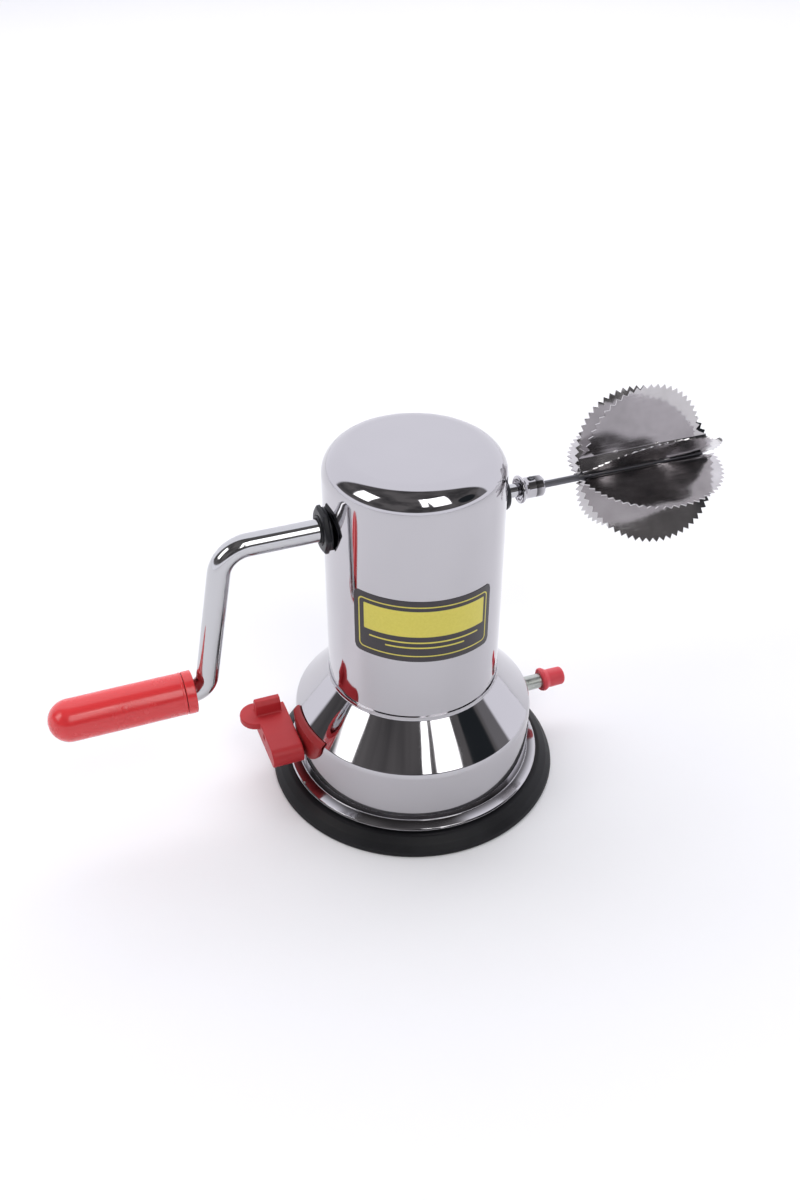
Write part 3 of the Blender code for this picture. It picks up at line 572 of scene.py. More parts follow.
def make_base_shell():
    """Spun shell: snug neck collar, cone, straight skirt, and rolled rim lip."""
    skirt = SHELL_RADIUS + 0.05
    outside = [
        (BODY_RADIUS + 0.08, COLLAR_TOP - 0.30), (BODY_RADIUS + 0.08, COLLAR_TOP - 0.05),
        (COLLAR_RADIUS, COLLAR_TOP - 0.05, 0.12), (COLLAR_RADIUS, NECK_Z + 0.3, 0.9),
        (SHELL_RADIUS - 0.45, SHELL_SHOULDER_Z + 0.25, 1.7), (skirt, SHELL_SHOULDER_Z - 1.6, 1.2),
        (skirt, LIP_Z + 1.8, 0.5), (LIP_RADIUS - 0.5, LIP_Z + 0.45, 0.35),
        (LIP_RADIUS - 0.05, LIP_Z - 0.1, 0.3), (LIP_RADIUS - 0.05, LIP_Z - 1.0, 0.2),
        (LIP_RADIUS - 0.9, LIP_Z - 1.0),
    ]
    inside = [
        (LIP_RADIUS - 1.2, LIP_Z - 0.1), (SHELL_RADIUS - 0.5, LIP_Z + 0.2),
        (SHELL_RADIUS - 0.5, SHELL_SHOULDER_Z - 0.9),
        (COLLAR_RADIUS + 0.2, NECK_Z - 0.9), (BODY_RADIUS + 0.08, NECK_Z - 0.2),
    ]
    shell = lathe("shell_spun", rounded(outside, 10) + inside, STEEL, closed=True)
    combine(shell, [drill(4.8, -60, 60, CAM_Z)], "DIFFERENCE")
    piece(shell, "base", "polished_stainless", "base_shell")


def make_label():
    """Thin film bent round the body, with rounded corners and a slight skew."""
    corner = 2.6
    columns = 96
    thickness = 0.12
    radius = BODY_RADIUS + 0.06
    bm = bmesh.new()
    layers = []
    for r in (radius, radius + thickness):
        rows = []
        for i in range(columns + 1):
            s = -LABEL_HALF_WIDTH + 2 * LABEL_HALF_WIDTH * i / columns
            from_end = LABEL_HALF_WIDTH - abs(s)
            trim = 0.0
            if from_end < corner:
                trim = corner - sqrt(max(corner ** 2 - (corner - from_end) ** 2, 0.0))
            half = LABEL_HALF_HEIGHT - trim
            angle = LABEL_CENTRE + s / BODY_RADIUS
            row = []
            for t in (-1.0, -0.5, 0.0, 0.5, 1.0):
                z = LABEL_MID_Z + t * half + LABEL_TILT * s
                row.append(bm.verts.new((r * sin(angle), -r * cos(angle), z)))
            rows.append(row)
        layers.append(rows)
    thin_plate(bm, *layers)
    label = mesh_object("label_blank", bm, LABEL)
    piece(label, "base", "label_film", "name_plate")


def make_bearing():
    """Flanged nylon bush with a threaded end, thin washer and chamfered hex nut."""
    head = BODY_RADIUS + 0.05
    end = -(BODY_RADIUS + 3.9)
    path = rounded([
        (BUSH_BORE, end + 0.3), (BUSH_BORE + 0.3, end), (BUSH_RADIUS - 0.5, end),
        (BUSH_RADIUS - 0.05, end + 0.5)], 4)
    pitch = 0.6
    for k in range(6):
        start = end + 0.5 + k * pitch
        path += [(BUSH_RADIUS, start + 0.15), (BUSH_RADIUS, start + 0.3),
            (BUSH_RADIUS - 0.3, start + 0.45), (BUSH_RADIUS - 0.3, start + 0.55)]
    path += rounded([
        (BUSH_RADIUS, end + 5.2), (BUSH_RADIUS, head), (7.7, head, 0.3),
        (7.7, head + 1.3, 0.8), (7.0, head + 3.1, 0.8),
        (4.2, head + 3.4, 0.5), (3.4, head + 2.8, 0.3),
        (3.4, head + 1.4), (BUSH_BORE, head + 1.4), (BUSH_BORE, 0.0)], 6)
    bush = lathe("bush_flanged", path, NYLON, MEDIUM, "X", SHAFT_Z, closed=True)
    piece(bush, "base", "black_nylon", "bearing_tube")

    face = -(BODY_RADIUS + 0.1)
    outer = 9.0
    inner = BUSH_RADIUS + 0.1
    depth = 0.8
    turned("washer_thin", [(inner, face), (outer, face, 0.15), (outer, face - depth, 0.3),
        (inner, face - depth)],
        4, NYLON, MEDIUM, SHAFT_Z, "base", "black_nylon", "bearing_washer")

    corner = 10.0
    inner_face = face - depth - 0.1
    outer_face = inner_face - 2.2
    hexagon = [(corner * cos(radians(60 * k)), SHAFT_Z + corner * sin(radians(60 * k)))
        for k in range(6)]
    nut = prism("nut_hex", hexagon, outer_face, inner_face, NYLON, place_yzx)
    cone = lathe("chamfer", [(0, outer_face - 0.01), (8.5, outer_face - 0.01),
        (corner + 0.05, outer_face + 0.8), (corner + 0.05, inner_face - 0.15),
        (corner - 0.25, inner_face + 0.01), (0, inner_face + 0.01)], None, MEDIUM, "X", SHAFT_Z)
    combine(nut, [cone], "INTERSECT")
    hole = lathe("hole", [(0, outer_face - 1.0), (BUSH_RADIUS + 1.0, outer_face - 1.0),
        (BUSH_RADIUS + 0.1, outer_face + 0.5),
        (BUSH_RADIUS + 0.1, inner_face + 1.0), (0, inner_face + 1.0)], None,
        MEDIUM, "X", SHAFT_Z)
    combine(nut, [hole], "DIFFERENCE")
    add_bevel(nut, 0.12, 2, 25)
    piece(nut, "base", "black_nylon", "bearing_nut")


# ---- crank and grip ----
def fillet_corner(before, corner, after, radius, steps):
    to_before = (before - corner).normalized()
    to_after = (after - corner).normalized()
    half = to_before.angle(to_after) / 2
    reach = radius / tan(half)
    centre = corner + (to_before + to_after).normalized() * (radius / sin(half))
    start = corner + to_before * reach - centre
    end = corner + to_after * reach - centre
    axis = start.cross(end).normalized()
    turn = start.angle(end)
    return [centre + Matrix.Rotation(turn * i / steps, 3, axis) @ start for i in range(steps + 1)]


def sweep_bar(name, stations, mat, sides=SMALL):
    """A round bar along a path in the XZ plane: stations are (point, radius, flattening)."""
    bm = bmesh.new()
    rings = []
    count = len(stations)
    for i, (point, radius, flat) in enumerate(stations):
        ahead = stations[min(i + 1, count - 1)][0]
        behind = stations[max(i - 1, 0)][0]
        along = (ahead - behind).normalized()
        side = Vector((0, 1, 0))
        up = along.cross(side).normalized()
        ring = []
        for k in range(sides):
            a = tau * k / sides
            offset = side * (radius * (1 + flat) * cos(a)) + up * (radius * (1 - flat) * sin(a))
            ring.append(bm.verts.new(point + offset))
        rings.append(ring)
    for low, high in zip(rings, rings[1:]):
        bridge(bm, low, high)
    bm.faces.new(rings[0])
    bm.faces.new(rings[-1])
    return mesh_object(name, bm, mat)


def make_crank():
    """Chromed bar bent twice, with the drive end turned down and both ends chamfered."""
    upper = Vector((CRANK_BEND_X, 0, SHAFT_Z))
    lower = Vector((GRIP_BEND_X, 0, GRIP_Z))
    shoulder_x = BODY_RADIUS + 1.2
    tip = Vector((-147, 0, GRIP_Z))
    start = Vector((shoulder_x, 0, SHAFT_Z))
    stations = []
    for x, radius in ((54.4, STUB_RADIUS - 0.4), (54.0, STUB_RADIUS), (53.7, STUB_RADIUS),
            (39.2, STUB_RADIUS), (38.72, STUB_RADIUS + 0.02), (38.7, 4.4),
            (38.5, ROD_RADIUS), (38.3, ROD_RADIUS), (0.0, ROD_RADIUS), (-40.0, ROD_RADIUS)):
        stations.append((Vector((x, 0, SHAFT_Z)), radius, 0.0))
    for bend in (fillet_corner(start, upper, lower, 13, 22),
            fillet_corner(upper, lower, tip, 7.5, 18)):
        last = len(bend) - 1
        before = bend[0] - (bend[1] - bend[0]) * 0.6
        stations.append((before, ROD_RADIUS, 0.0))
        for k, point in enumerate(bend):
            swell = 0.025 * sin(pi * k / last)
            stations.append((point, ROD_RADIUS, swell))
        stations.append((bend[-1] + (bend[-1] - bend[-2]) * 0.6, ROD_RADIUS, 0.0))
    stations += [(tip + Vector((0.5, 0, 0)), ROD_RADIUS, 0.0), (tip, ROD_RADIUS - 0.5, 0.0)]
    bar = sweep_bar("crank_bar", stations, CHROME)
    piece(bar, "crank", "crank_chrome", "crank_rod")


def make_grip():
    """Glossy sleeve with a domed tip, a parting groove, and a separate end collar."""
    collar_end = GRIP_INNER_X - 4.0
    turned("grip_end_collar", [
        (5.5, GRIP_INNER_X - 0.3), (5.8, GRIP_INNER_X, 0.2),
        (GRIP_RADIUS + 0.1, GRIP_INNER_X, 0.45),
        (GRIP_RADIUS + 0.1, collar_end, 0.3), (5.5, collar_end)],
        6, GRIP_RED, MEDIUM, GRIP_Z, "grip", "red_grip_plastic", "grip_collar")

    start = collar_end - 0.25
    pocket = start - 2.6
    path = rounded([
        (0.0, -149), (BUSH_BORE, -149), (BUSH_BORE, pocket), (7.2, pocket),
        (7.2, start), (GRIP_RADIUS + 0.05, start, 0.3), (GRIP_RADIUS + 0.05, start - 0.9, 0.2),
        (GRIP_RADIUS - 0.08, start - 1.1, 0.2), (GRIP_RADIUS, GRIP_TIP_X + 30, 40),
        (GRIP_RADIUS - 0.05, GRIP_TIP_X + GRIP_RADIUS)], 5)
    nose = arc((0.0, GRIP_TIP_X + GRIP_RADIUS), GRIP_RADIUS - 0.05, 0, -90, 22)
    path = add_loops(path, 4) + nose[1:-1]
    path.append((0.0, GRIP_TIP_X + 0.05))
    sleeve = lathe("grip_moulding", path, GRIP_RED, MEDIUM, "X", GRIP_Z)
    piece(sleeve, "grip", "red_grip_plastic", "grip_sleeve")

    # the little raised scar where the moulding gate was cut off
    gate_x = -128
    lean = radians(38)
    out = Vector((0, -cos(lean), sin(lean)))
    bm = bmesh.new()
    bmesh.ops.create_uvsphere(bm, u_segments=24, v_segments=12, radius=1.0)
    for vert in bm.verts:
        wobble = 1.0 + 0.18 * sin(5.0 * atan2(vert.co.y, vert.co.x))
        vert.co = Vector((vert.co.x * 1.5 * wobble, vert.co.y * 1.1, vert.co.z * 0.16))
    turn = Vector((0, 0, 1)).rotation_difference(out).to_matrix().to_4x4()
    centre = Vector((gate_x, 0, GRIP_Z)) + out * (GRIP_RADIUS - 0.03)
    bm.transform(Matrix.Translation(centre) @ turn)
    gate = mesh_object("grip_gate_scar", bm, GRIP_RED)
    piece(gate, "grip", "red_grip_plastic")


# ---- coupling and blades ----
GRUB_SCREW_X = 52.4


def make_coupling():
    """Flared ferrule with an open mouth, its grub screw, and the thin blade rod."""
    mouth = 46.6
    path = rounded([
        (3.3, 54.8), (3.3, 48.8), (4.4, 47.6, 0.4), (4.7, mouth + 0.2, 0.3), (5.4, mouth, 0.3),
        (6.0, mouth + 0.3, 0.3), (6.0, mouth + 1.0, 0.4), (4.8, 49.0, 1.0), (4.5, 50.2, 0.8),
        (4.5, 57.0, 0.4), (3.9, 57.7, 0.3),
        (BLADE_ROD_RADIUS + 0.1, 57.7), (BLADE_ROD_RADIUS + 0.1, 54.8)], 6)
    ferrule = lathe("ferrule_flared", path, STEEL, MEDIUM, "X", SHAFT_Z, closed=True)
    hole = lathe("hole", [(0, SHAFT_Z + 2.0), (1.55, SHAFT_Z + 2.0), (1.55, SHAFT_Z + 4.3),
        (1.9, SHAFT_Z + 6.0), (0, SHAFT_Z + 6.0)], None, 32)
    hole.location.x = GRUB_SCREW_X * MM
    combine(ferrule, [hole], "DIFFERENCE")
    piece(ferrule, "crank", "blade_steel", "blade_ferrule")

    top = SHAFT_Z + 4.7
    path = rounded([(0, SHAFT_Z + 3.2), (1.3, SHAFT_Z + 3.2), (1.3, top, 0.2), (0, top)], 3)
    screw = lathe("grub_screw_slotted", path, DARK_ROD, 32)
    slot_box = prism("slot", [(-2, -0.25), (2, -0.25), (2, 0.25),
        (-2, 0.25)], top - 0.6, top + 1.0, None, place_xyz)
    combine(screw, [slot_box], "DIFFERENCE")
    screw.location.x = GRUB_SCREW_X * MM
    piece(screw, "crank", "dark_rod_steel", "ferrule_grub_screw")

    end = HEAD_X + HEAD_RADIUS - 5
    path = rounded([(0, 55.1), (BLADE_ROD_RADIUS, 55.1), (BLADE_ROD_RADIUS, end, 0.4), (0, end)], 4)
    rod = lathe("rod_drawn", add_loops(path, 6), DARK_ROD, 40, "X", SHAFT_Z)
    piece(rod, "crank", "dark_rod_steel", "blade_rod")


TEETH_PER_DISC = 62
TOOTH_DEPTH = 1.9
BLADE_SHEET = 0.5
STRIP_HALF = 1.1
FOLD_NOTCH = 4.0
BEND_RADIUS = 1.0
BLADE_DISH = 0.25
WELD_SIDES = 28


def toothed_half(radius, teeth, start_angle, centre_y):
    """Points along half a saw-toothed disc, root and tip in turn, with a notch at each end."""
    points = []
    for i in range(2 * teeth + 1):
        r = radius if i % 2 else radius - TOOTH_DEPTH
        if i in (0, 2 * teeth):
            r = radius - FOLD_NOTCH
        a = start_angle + pi * i / (2 * teeth)
        points.append((r * cos(a), centre_y + r * sin(a)))
    return points


def blade_outline(stepped):
    """Flat pattern of one disc, its fold along X; the stepped one is narrower past its step."""
    half = TEETH_PER_DISC // 2
    lower = toothed_half(HEAD_RADIUS - 0.1, half, pi, 0.0)
    if not stepped:
        return toothed_half(HEAD_RADIUS - 0.1, half, 0.0, 0.0)[:-1] + lower[:-1]
    step_end = STRIP_HALF + STEP_WIDTH
    teeth = round(half * STEPPED_WING_RADIUS / HEAD_RADIUS)
    upper = toothed_half(STEPPED_WING_RADIUS, teeth, 0.0, step_end)
    corners = [(STEP_HALF_LENGTH, step_end), (STEP_HALF_LENGTH, STRIP_HALF)]
    return corners[::-1] + upper[1:-1] + [(-x, y) for x, y in corners] + lower


def bent_section(leans, widths):
    """The sheet's section across the fold, on one side: (across, up) points from the middle."""
    height = BLADE_ROD_RADIUS + 0.05 + BLADE_SHEET / 2
    path = [(0.0, height), (STRIP_HALF, height, BEND_RADIUS)]
    across, up = STRIP_HALF, height
    for lean, width in zip(leans, widths):
        across += width * sin(radians(lean))
        up += width * cos(radians(lean))
        path.append((across, up, BEND_RADIUS))
    return rounded(path, 5, 0.0)


def on_path(path, distance):
    """The point that far along the path, and the direction of the path there."""
    for a, b in zip(path, path[1:]):
        length = hypot(b[0] - a[0], b[1] - a[1])
        if distance <= length or b is path[-1]:
            along = ((b[0] - a[0]) / length, (b[1] - a[1]) / length)
            return (a[0] + along[0] * distance, a[1] + along[1] * distance), along
        distance -= length


def bend_rows(path):
    """Distances from the middle of the sheet at which the section turns."""
    rows = []
    total = 0.0
    for a, b in zip(path, path[1:-1]):
        total += hypot(b[0] - a[0], b[1] - a[1])
        rows.append(total)
    return rows


def blade_sheet(stepped, lower_path, upper_path):
    """The flat pattern as triangles: the outline, the bend rows, and points all over the sheet."""
    outline = blade_outline(stepped)
    points = [Vector(p) for p in outline]
    edges = [(k, (k + 1) % len(outline)) for k in range(len(outline))]
    step_end = STRIP_HALF + STEP_WIDTH

    def reach(y):
        """Half the length of the sheet along the rod at that distance from the middle."""
        if stepped and STRIP_HALF <= y <= step_end:
            return STEP_HALF_LENGTH - 0.6
        radius = HEAD_RADIUS - TOOTH_DEPTH - 0.7
        centre = 0.0
        if stepped and y > step_end:
            radius = STEPPED_WING_RADIUS - TOOTH_DEPTH - 0.7
            centre = step_end
        if min(abs(y - centre), abs(y)) < 2.4:
            radius -= FOLD_NOTCH - TOOTH_DEPTH
        return sqrt(max(radius ** 2 - (y - centre) ** 2, 0.0))

    spacing = 2.2
    for side, path in ((-1, lower_path), (1, upper_path)):
        rows = bend_rows(path)
        creases = len(rows)
        y = rows[-1] + spacing
        while reach(y) > spacing and y < 2 * HEAD_RADIUS:
            rows.append(y)
            y += spacing
        for number, y in enumerate(rows):
            half = reach(y * side)
            count = max(2, round(2 * half / spacing))
            first = len(points)
            points += [Vector((-half + 2 * half * k / count, y * side)) for k in range(count + 1)]
            if number < creases:
                edges += [(first + k, first + k + 1) for k in range(count)]
    found = geometry.delaunay_2d_cdt(points, edges, [list(range(len(outline)))], 1, 1e-4)
    return found[0], found[2]


def make_blade(index, fold):
    """A toothed disc folded to a V, its teeth left sharp, welded to the rod by its strip."""
    direction = radians(fold[0])
    stepped = index == STEPPED_BLADE
    lower_path = bent_section([fold[1]], [2 * HEAD_RADIUS])
    upper_path = bent_section([fold[2]], [2 * HEAD_RADIUS])
    if stepped:
        upper_path = bent_section([STEP_LEAN, fold[2]], [STEP_WIDTH, 2 * HEAD_RADIUS])
    points, faces = blade_sheet(stepped, lower_path, upper_path)
    bm = bmesh.new()
    verts = []
    for x, y in points:
        side = 1.0 if y > 0 else -1.0
        (across, up), along = on_path(upper_path if y > 0 else lower_path, abs(y))
        dish = BLADE_DISH * sin(x * 0.07 + 1.7 * index + side) * abs(y) / HEAD_RADIUS
        verts.append(bm.verts.new((x, side * (across - dish * along[1]), up + dish * along[0])))
    for face in faces:
        bm.faces.new([verts[k] for k in face])
    turn = Matrix.Rotation(pi / 2 - direction, 4, "X")
    bm.transform(Matrix.Translation((HEAD_X, 0, SHAFT_Z)) @ turn)
    blade = mesh_object(f"folded_blade_{index}", bm, BLADE, 50)
    modify(blade, "SOLIDIFY", thickness=BLADE_SHEET * MM, offset=0.0)
    bake(blade)
    blade.data.set_sharp_from_angle(angle=radians(50))
    piece(blade, "crank", "blade_steel", f"blade_{index}")
    places = [(-10.5, 0.0), (10.5, 0.0)]
    if stepped:
        crease = STRIP_HALF + STEP_WIDTH
        places = [(-13.5, crease), (7.5, crease), (-10.5, 0.0), (10.5, 0.0)]
    welds = make_welds(index, turn, upper_path, places)
    piece(welds, "crank", "blade_steel")


def make_welds(index, turn, path, places):
    """Small spot-weld nuggets, each with a raised ring, on the strip or on a crease."""
    bm = bmesh.new()
    rings = ((0.0, 0.55), (0.45, 0.50), (0.75, 0.42), (1.0, 0.24), (1.2, 0.02), (1.35, -0.25))
    for x, distance in places:
        (across, up), along = on_path(path, distance)
        out = Vector((0, -along[1], along[0]))
        centre = Vector((x, across, up)) + out * BLADE_SHEET / 2
        side = Vector((0, along[0], along[1]))
        previous = None
        for radius, rise in rings:
            middle = centre + out * rise
            if radius == 0.0:
                ring = [bm.verts.new(middle)]
            else:
                ring = []
                for k in range(WELD_SIDES):
                    a = tau * k / WELD_SIDES
                    offset = Vector((radius * cos(a), 0, 0)) + side * radius * 0.8 * sin(a)
                    ring.append(bm.verts.new(middle + offset))
            if previous:
                bridge(bm, previous, ring)
            previous = ring
        bm.faces.new(previous)
    bm.transform(Matrix.Translation((HEAD_X, 0, SHAFT_Z)) @ turn)
    return mesh_object(f"spot_welds_{index}", bm, BLADE)


# ---- vacuum lever ----
def make_lever():
    """Moulded lever: slab with a round nose, ridge across the free end, thumb tab."""
    outline = arc((-6.8, CAM_Z + 1.6), 5.0, 100, 250, 18)
    outline += [(18.0, CAM_Z - 3.8), (20.8, CAM_Z - 2.2), (21.0, CAM_Z + 7.0)]
    lever = prism("lever_moulding", outline, LEVER_OUTER_X, LEVER_INNER_X, LEVER_RED, place_yzx)
    ridge = [(15.0, CAM_Z + 5.0), (21.0, CAM_Z + 5.0), (21.0, CAM_Z + 11.8), (19.6, CAM_Z + 13.6),
        (17.0, CAM_Z + 13.6), (15.6, CAM_Z + 11.8)]
    ridge_obj = prism("ridge", ridge, LEVER_OUTER_X, LEVER_OUTER_X + 11.6, None, place_yzx)
    tab = arc((LEVER_OUTER_X + 0.4, 17.6), 7.6, 0, 352, 44)
    tab_obj = prism("tab", tab, CAM_Z + 3.6, CAM_Z + 6.8, None, place_xyz)
    combine(lever, [ridge_obj, tab_obj], "UNION")
    notch = prism("notch", [(2.4, CAM_Z + 2.4), (5.4, CAM_Z + 2.4),
        (5.4, CAM_Z + 5.2), (2.4, CAM_Z + 5.2)],
        LEVER_OUTER_X - 1.0, LEVER_OUTER_X + 1.0, None, place_yzx)
    socket = drill(3.2, LEVER_INNER_X - 12.1, LEVER_INNER_X + 1.0, CAM_Z)
    combine(lever, [notch, socket], "DIFFERENCE")
    soften(lever, 0.30, 7)
    piece(lever, "vacuum_lever", "red_lever_plastic", "lever")


def make_saddle():
    """Thin plate that hangs from the shoulder behind the lever and follows the skirt."""
    inner = SHELL_RADIUS + 0.35
    thickness = 1.2
    section = rounded([(inner - 2.0, SHELL_SHOULDER_Z + 2.3),
        (inner, SHELL_SHOULDER_Z + 0.1, 1.0), (inner, 18.0)], 5)
    section = add_loops(section, 2)
    columns = 60
    bm = bmesh.new()
    layers = []
    for outwards in (0.0, thickness):
        rows = []
        for i in range(columns + 1):
            angle = pi - radians(10.5) + radians(34.5) * i / columns
            rows.append([bm.verts.new(((r + outwards) * cos(angle),
                (r + outwards) * sin(angle), z)) for r, z in section])
        layers.append(rows)
    thin_plate(bm, *layers)
    # the plate's darker red is painted shade for the lever's shadow on it
    saddle = mesh_object("saddle_moulding", bm, LEVER_RED_SHADED)
    reach = (-SHELL_RADIUS - 15, -SHELL_RADIUS + 15)
    disc = prism("disc", arc((-5.6, SHELL_SHOULDER_Z + 0.9), 14.4, 0, 355, 71),
        *reach, None, place_yzx)
    boss = prism("boss", arc((0.0, CAM_Z), 6.4, 0, 350, 35), *reach, None, place_yzx)
    combine(disc, [boss], "UNION")
    combine(saddle, [disc], "INTERSECT")
    combine(saddle, [drill(3.4, *reach, CAM_Z)], "DIFFERENCE")
    soften(saddle, 0.25, 3)
    piece(saddle, "base", "red_lever_plastic", "lever_saddle_plate")


def make_shaft_fittings():
    """Drawn shaft with a thicker outer end, the bush in the shell, and the push-on end cap."""
    left = LEVER_INNER_X - 11.5
    right = CAP_TIP_X - 2.1
    thin = CAM_SHAFT_RADIUS
    thick = CAM_SHAFT_END_RADIUS
    shaft_path = [(0, left), (thin - 0.3, left), (thin, left + 0.3)]
    for low in (-17.0, 15.4):
        groove = thin - 0.6
        shaft_path += [(thin, low), (groove, low), (groove, low + 1.6), (thin, low + 1.6)]
    shaft_path += [(thin, 44), (thick, 44), (thick, CAP_X + 1.3),
        (thin, CAP_X + 1.3), (thin, right - 0.4), (thin - 0.4, right), (0, right)]
    shaft = lathe("shaft_drawn", shaft_path, ZINC, SMALL, "X", CAM_Z)
    piece(shaft, "vacuum_lever", "zinc_steel", "cam_shaft")

    flange = SHELL_RADIUS + 0.3
    bore = thick + 0.2
    sleeve = thick + 0.9
    turned("shaft_bush_moulding", [
        (bore, flange - 4), (sleeve, flange - 4, 0.2), (sleeve, flange), (5.9, flange, 0.2),
        (5.9, flange + 1.3, 0.5), (bore, flange + 1.3, 0.2)],
        4, CAP_RED, SMALL, CAM_Z, "base", "red_lever_plastic", "shaft_bush")

    def squeeze(x, y, z):
        """The mouth of the soft cap is pressed slightly out of round."""
        share = max(0.0, 1.0 - (x - CAP_X) / (4.5))
        turn = atan2(z - CAM_Z, y)
        swell = 1.0 - 0.055 * share * (1.0 + cos(3.0 * turn + 0.6))
        return (x, y * swell, CAM_Z + (z - CAM_Z) * swell)

    path = rounded([
        (0, right + 0.3), (thin + 0.2, right + 0.3),
        (thin + 0.2, CAP_X + 1.6), (thick + 0.2, CAP_X + 1.6),
        (thick + 0.2, CAP_X + 0.05, 0.2), (5.6, CAP_X + 0.05, 0.8),
        (5.95, CAP_X + 1.6, 1.2), (4.35, CAP_X + 4.0, 2.0),
        (4.4, CAP_X + 6, 8), (4.3, CAP_TIP_X - 0.9, 2.0),
        (2.8, CAP_TIP_X - 0.1, 1.2), (0, CAP_TIP_X - 0.05)], 8)
    cap = lathe("end_cap_moulding", add_loops(path, 1.2), CAP_RED, SMALL, "X", CAM_Z,
        wobble=squeeze)
    piece(cap, "vacuum_lever", "red_lever_plastic", "shaft_end_cap")


# ---- suction pad ----
def make_pad():
    """Rubber pad: flange ring with a bevelled edge, ribbed web, and centre boss."""
    inner = 46.5
    outside = [
        (51.3, 9.5), (51.6, 7.4, 0.5), (59.6, 7.1, 2.0), (62.8, 5.0, 2.0), (64.9, 2.4, 1.2),
        (PAD_RADIUS, 1.0, 0.5), (PAD_RADIUS - 0.3, 0.0, 0.3),
        (inner + 2, 0.0, 0.4), (inner, 2.4, 0.6), (inner, 9.5),
    ]
    ring = lathe("pad_flange", rounded(outside, 8), RUBBER, closed=True)
    piece(ring, "base", "black_rubber", "pad_ring")

    web_outer = inner - 0.1
    web_inner = 14.1
    top = []
    bottom = []
    rings = 40
    for k in range(rings + 1):
        share = k / rings
        r = web_outer + (web_inner - web_outer) * share
        base_line = 5.6 - 4.2 * min(1.0, share * 1.13)
        ripple = 0.14 * cos(share * tau * 5)
        bottom.append((r, base_line + ripple))
        top.append((r, base_line + 1.5 + ripple))
    web = lathe("pad_web_moulding", top + bottom[::-1], RUBBER, MEDIUM, closed=True)
    piece(web, "base", "black_rubber", "pad_web")
    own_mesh(web)

    radius = 14
    path = rounded([
        (0.0, 1.4), (8.3, 1.4), (8.3, 3.6), (4.3, 3.6), (4.3, 5.0, 0.2), (radius - 0.6, 5.0, 0.5),
        (radius, 4.0, 0.4), (radius, 0.8, 0.5), (radius - 0.9, 0.0, 0.3),
        (5.2, 0.0, 0.2), (5.0, 0.35, 0.15), (4.2, 0.35, 0.15), (4.0, 0.0, 0.2), (0.0, 0.0)], 5)
    boss = lathe("pad_boss_moulding", path, RUBBER, MEDIUM)
    piece(boss, "stud", "black_rubber", "pad_boss")


def paint_cad_nodes():
    """Hidden working parts keep their CAD shape and get the real materials."""
    for name in ("neck_ring", "cam_carrier", "spindle_washer", "shaft_clip_left",
            "shaft_clip_right", "cam", "cam_pin", "lever_pin", "suction_stud"):
        obj = NODES[name]
        obj.data.materials.clear()
        obj.data.materials.append(STEEL if name == "neck_ring" else ZINC)


# ---- stage ----
FLOOR_HALF_SIZE = 2200


def direction(azimuth, elevation):
    """Unit vector: azimuth 0 is straight out of the front (-Y), positive towards +X."""
    a = radians(azimuth)
    e = radians(elevation)
    return Vector((sin(a) * cos(e), -cos(a) * cos(e), sin(e)))


def fade_edges(lamp, edge):
    """Lets the light of a softbox fall off towards its four edges."""
    lamp.use_nodes = True
    nodes = Nodes(lamp.node_tree)
    across = nodes.add("ShaderNodeNewGeometry").outputs["Parametric"]
    uv = nodes.add("ShaderNodeSeparateXYZ", {0: across}).outputs
    strength = 1.0
    for side in (uv[0], uv[1]):
        from_edge = nodes.minus(0.5, nodes.math("ABSOLUTE", nodes.minus(side, 0.5)))
        strength = nodes.times(strength, nodes.remap(from_edge, 0.0, edge, 0.0, 1.0, True))
    emission = nodes.add("ShaderNodeEmission", {"Strength": strength})
    output = nodes.add("ShaderNodeOutputLight")
    nodes.plug(output.inputs["Surface"], emission)


def add_softbox(name, azimuth, elevation, distance, width, height, radiance, edge=0.0):
    """A rectangular light that faces the middle of the tool."""
    target = Vector((0, 0, 0.10))
    place = target + direction(azimuth, elevation) * distance
    lamp = bpy.data.lights.new(name, "AREA")
    lamp.shape = "RECTANGLE"
    lamp.size = width
    lamp.size_y = height
    lamp.energy = radiance * pi * width * height
    if edge:
        fade_edges(lamp, edge)
    obj = bpy.data.objects.new(name, lamp)
    obj.location = place
    obj.rotation_euler = (target - place).to_track_quat("-Z", "Y").to_euler()
    bpy.context.scene.collection.objects.link(obj)
    return obj


def make_floor():
    bm = bmesh.new()
    bmesh.ops.create_grid(bm, x_segments=4, y_segments=4, size=FLOOR_HALF_SIZE)
    mat, nodes, place = start_material("floor_pale")
    cloud = nodes.noise(place, 3.0, 2.0)
    shade = nodes.mix(cloud, (0.86, 0.86, 0.885, 1.0), (0.88, 0.88, 0.90, 1.0))
    end_material(nodes, Base_Color=shade, Roughness=0.75, Metallic=0.0)
    floor = mesh_object("floor", bm, mat)
    floor.location.z = -0.05 * MM


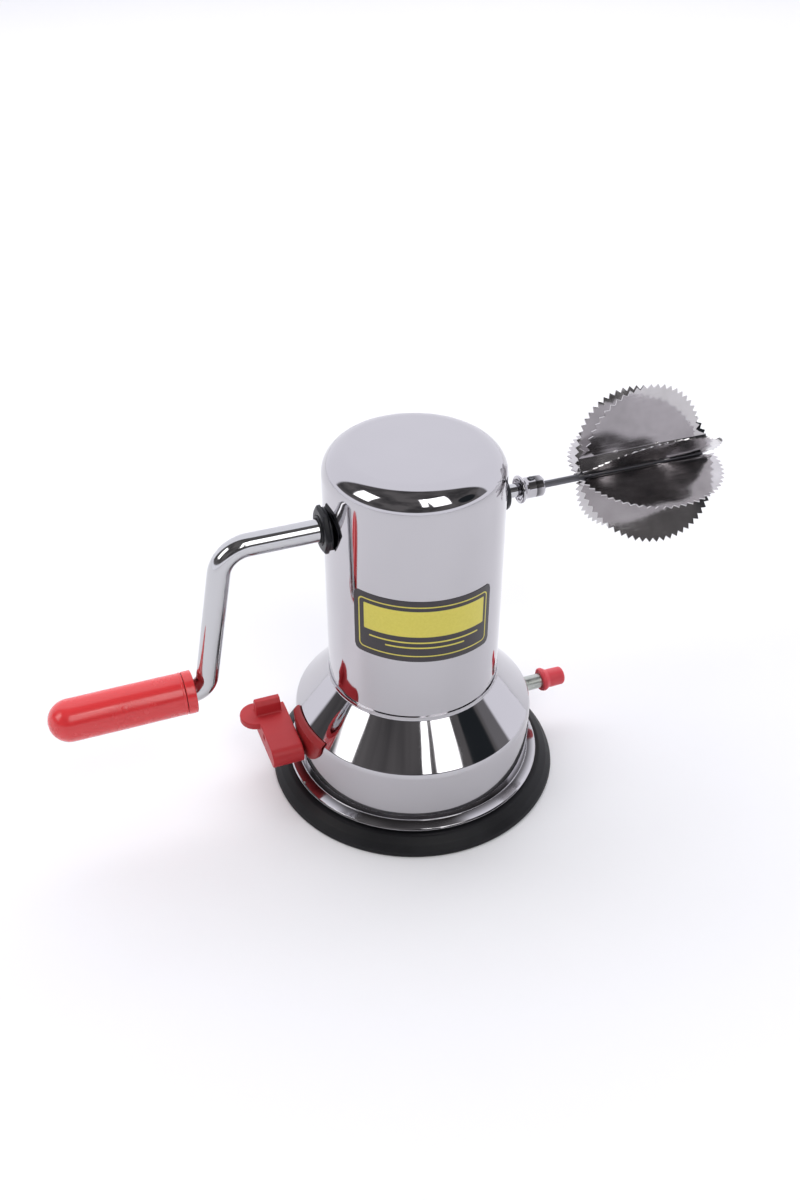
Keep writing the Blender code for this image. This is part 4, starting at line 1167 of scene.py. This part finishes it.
def make_world():
    """White surround behind and above, a darker room on the viewer's side."""
    world = bpy.data.worlds.new("surround")
    bpy.context.scene.world = world
    world.use_nodes = True
    nodes = Nodes(world.node_tree)
    ray = nodes.add("ShaderNodeTexCoord").outputs["Generated"]
    towards = nodes.dot(ray, direction(-27, 0))
    up = nodes.add("ShaderNodeSeparateXYZ", {0: ray}).outputs[2]
    # the dark part starts just past the plane through the tool and just above the table
    beyond = nodes.remap(towards, -0.20, -0.14, 0.0, 1.0, True)
    above = nodes.remap(up, 0.10, 0.14, 0.0, 1.0, True)
    dark = nodes.times(beyond, above)
    patches = nodes.noise(ray, 2.2, 3.0, 0.5)
    room = nodes.clouds(patches, 0.40, 0.62, (0.065, 0.063, 0.066), (0.165, 0.158, 0.160))

    def around(azimuth, elevation, inner, outer):
        """1 within the inner angle of that direction, 0 beyond the outer, with a ragged edge."""
        near = nodes.dot(ray, direction(azimuth, elevation))
        near = nodes.plus(near, nodes.times(nodes.noise(ray, 9.0, 2.0), 0.012))
        return nodes.remap(near, cos(radians(outer)) + 0.006,
            cos(radians(inner)) + 0.006, 0.0, 1.0, True)

    room = nodes.mix(around(78, 14, 15, 20), room, (0.22, 0.215, 0.225, 1.0))
    room = nodes.mix(around(46, 24, 9.5, 12), room, (0.022, 0.026, 0.030, 1.0))
    surround = nodes.mix(dark, (1.12, 1.12, 1.20, 1.0), room)
    seen = nodes.add("ShaderNodeLightPath").outputs["Is Camera Ray"]
    colour = nodes.mix(seen, surround, (1.0, 1.0, 1.0, 1.0))
    background = nodes.add("ShaderNodeBackground", {"Color": colour, "Strength": 1.0})
    output = nodes.add("ShaderNodeOutputWorld")
    nodes.plug(output.inputs["Surface"], background)


def make_camera():
    focal_ratio = 1206 / 1200       # focal length over the frame's height
    camera = bpy.data.cameras.new("camera")
    camera.sensor_fit = "VERTICAL"
    camera.sensor_height = 36.0
    camera.lens = 36.0 * focal_ratio
    camera.clip_start = 0.01
    camera.clip_end = 50.0
    obj = bpy.data.objects.new("camera", camera)
    pitch = radians(36.59)
    heading = radians(20.70)
    obj.location = (-0.15315, -0.38883, 0.40060)
    obj.rotation_euler = (pi / 2 - pitch, 0.0, -heading)
    bpy.context.scene.collection.objects.link(obj)
    bpy.context.scene.camera = obj


def make_stage():
    make_floor()
    make_world()
    add_softbox("softbox_left", -89, 36, 2.2, 0.88, 1.16, 3.4, 0.08)
    add_softbox("softbox_front", 13.5, 45, 2.2, 0.84, 1.44, 3.0, 0.06)
    add_softbox("softbox_front_strip", -7.5, 46, 2.2, 0.27, 1.30, 3.4, 0.10)
    # two diffusers light the table and are never mirrored
    overhead = add_softbox("overhead_diffuser", 0, 90, 2.4, 4.5, 4.5, 0.30)
    overhead.visible_glossy = False
    backdrop = add_softbox("backdrop_diffuser", 165, 50, 1.9, 3.4, 1.6, 1.3)
    backdrop.rotation_euler = (0.0, 0.0, 0.0)
    backdrop.visible_glossy = False
    make_camera()
    settings = bpy.context.scene.view_settings
    settings.view_transform = "Standard"
    settings.look = "None"


def main():
    make_stage()
    make_body_cup()
    make_base_shell()
    make_label()
    make_bearing()
    make_crank()
    make_grip()
    make_coupling()
    for index, fold in enumerate(FOLDS, start=1):
        make_blade(index, fold)
    make_lever()
    make_saddle()
    make_shaft_fittings()
    make_pad()
    paint_cad_nodes()


main()
bpy.context.view_layer.update()
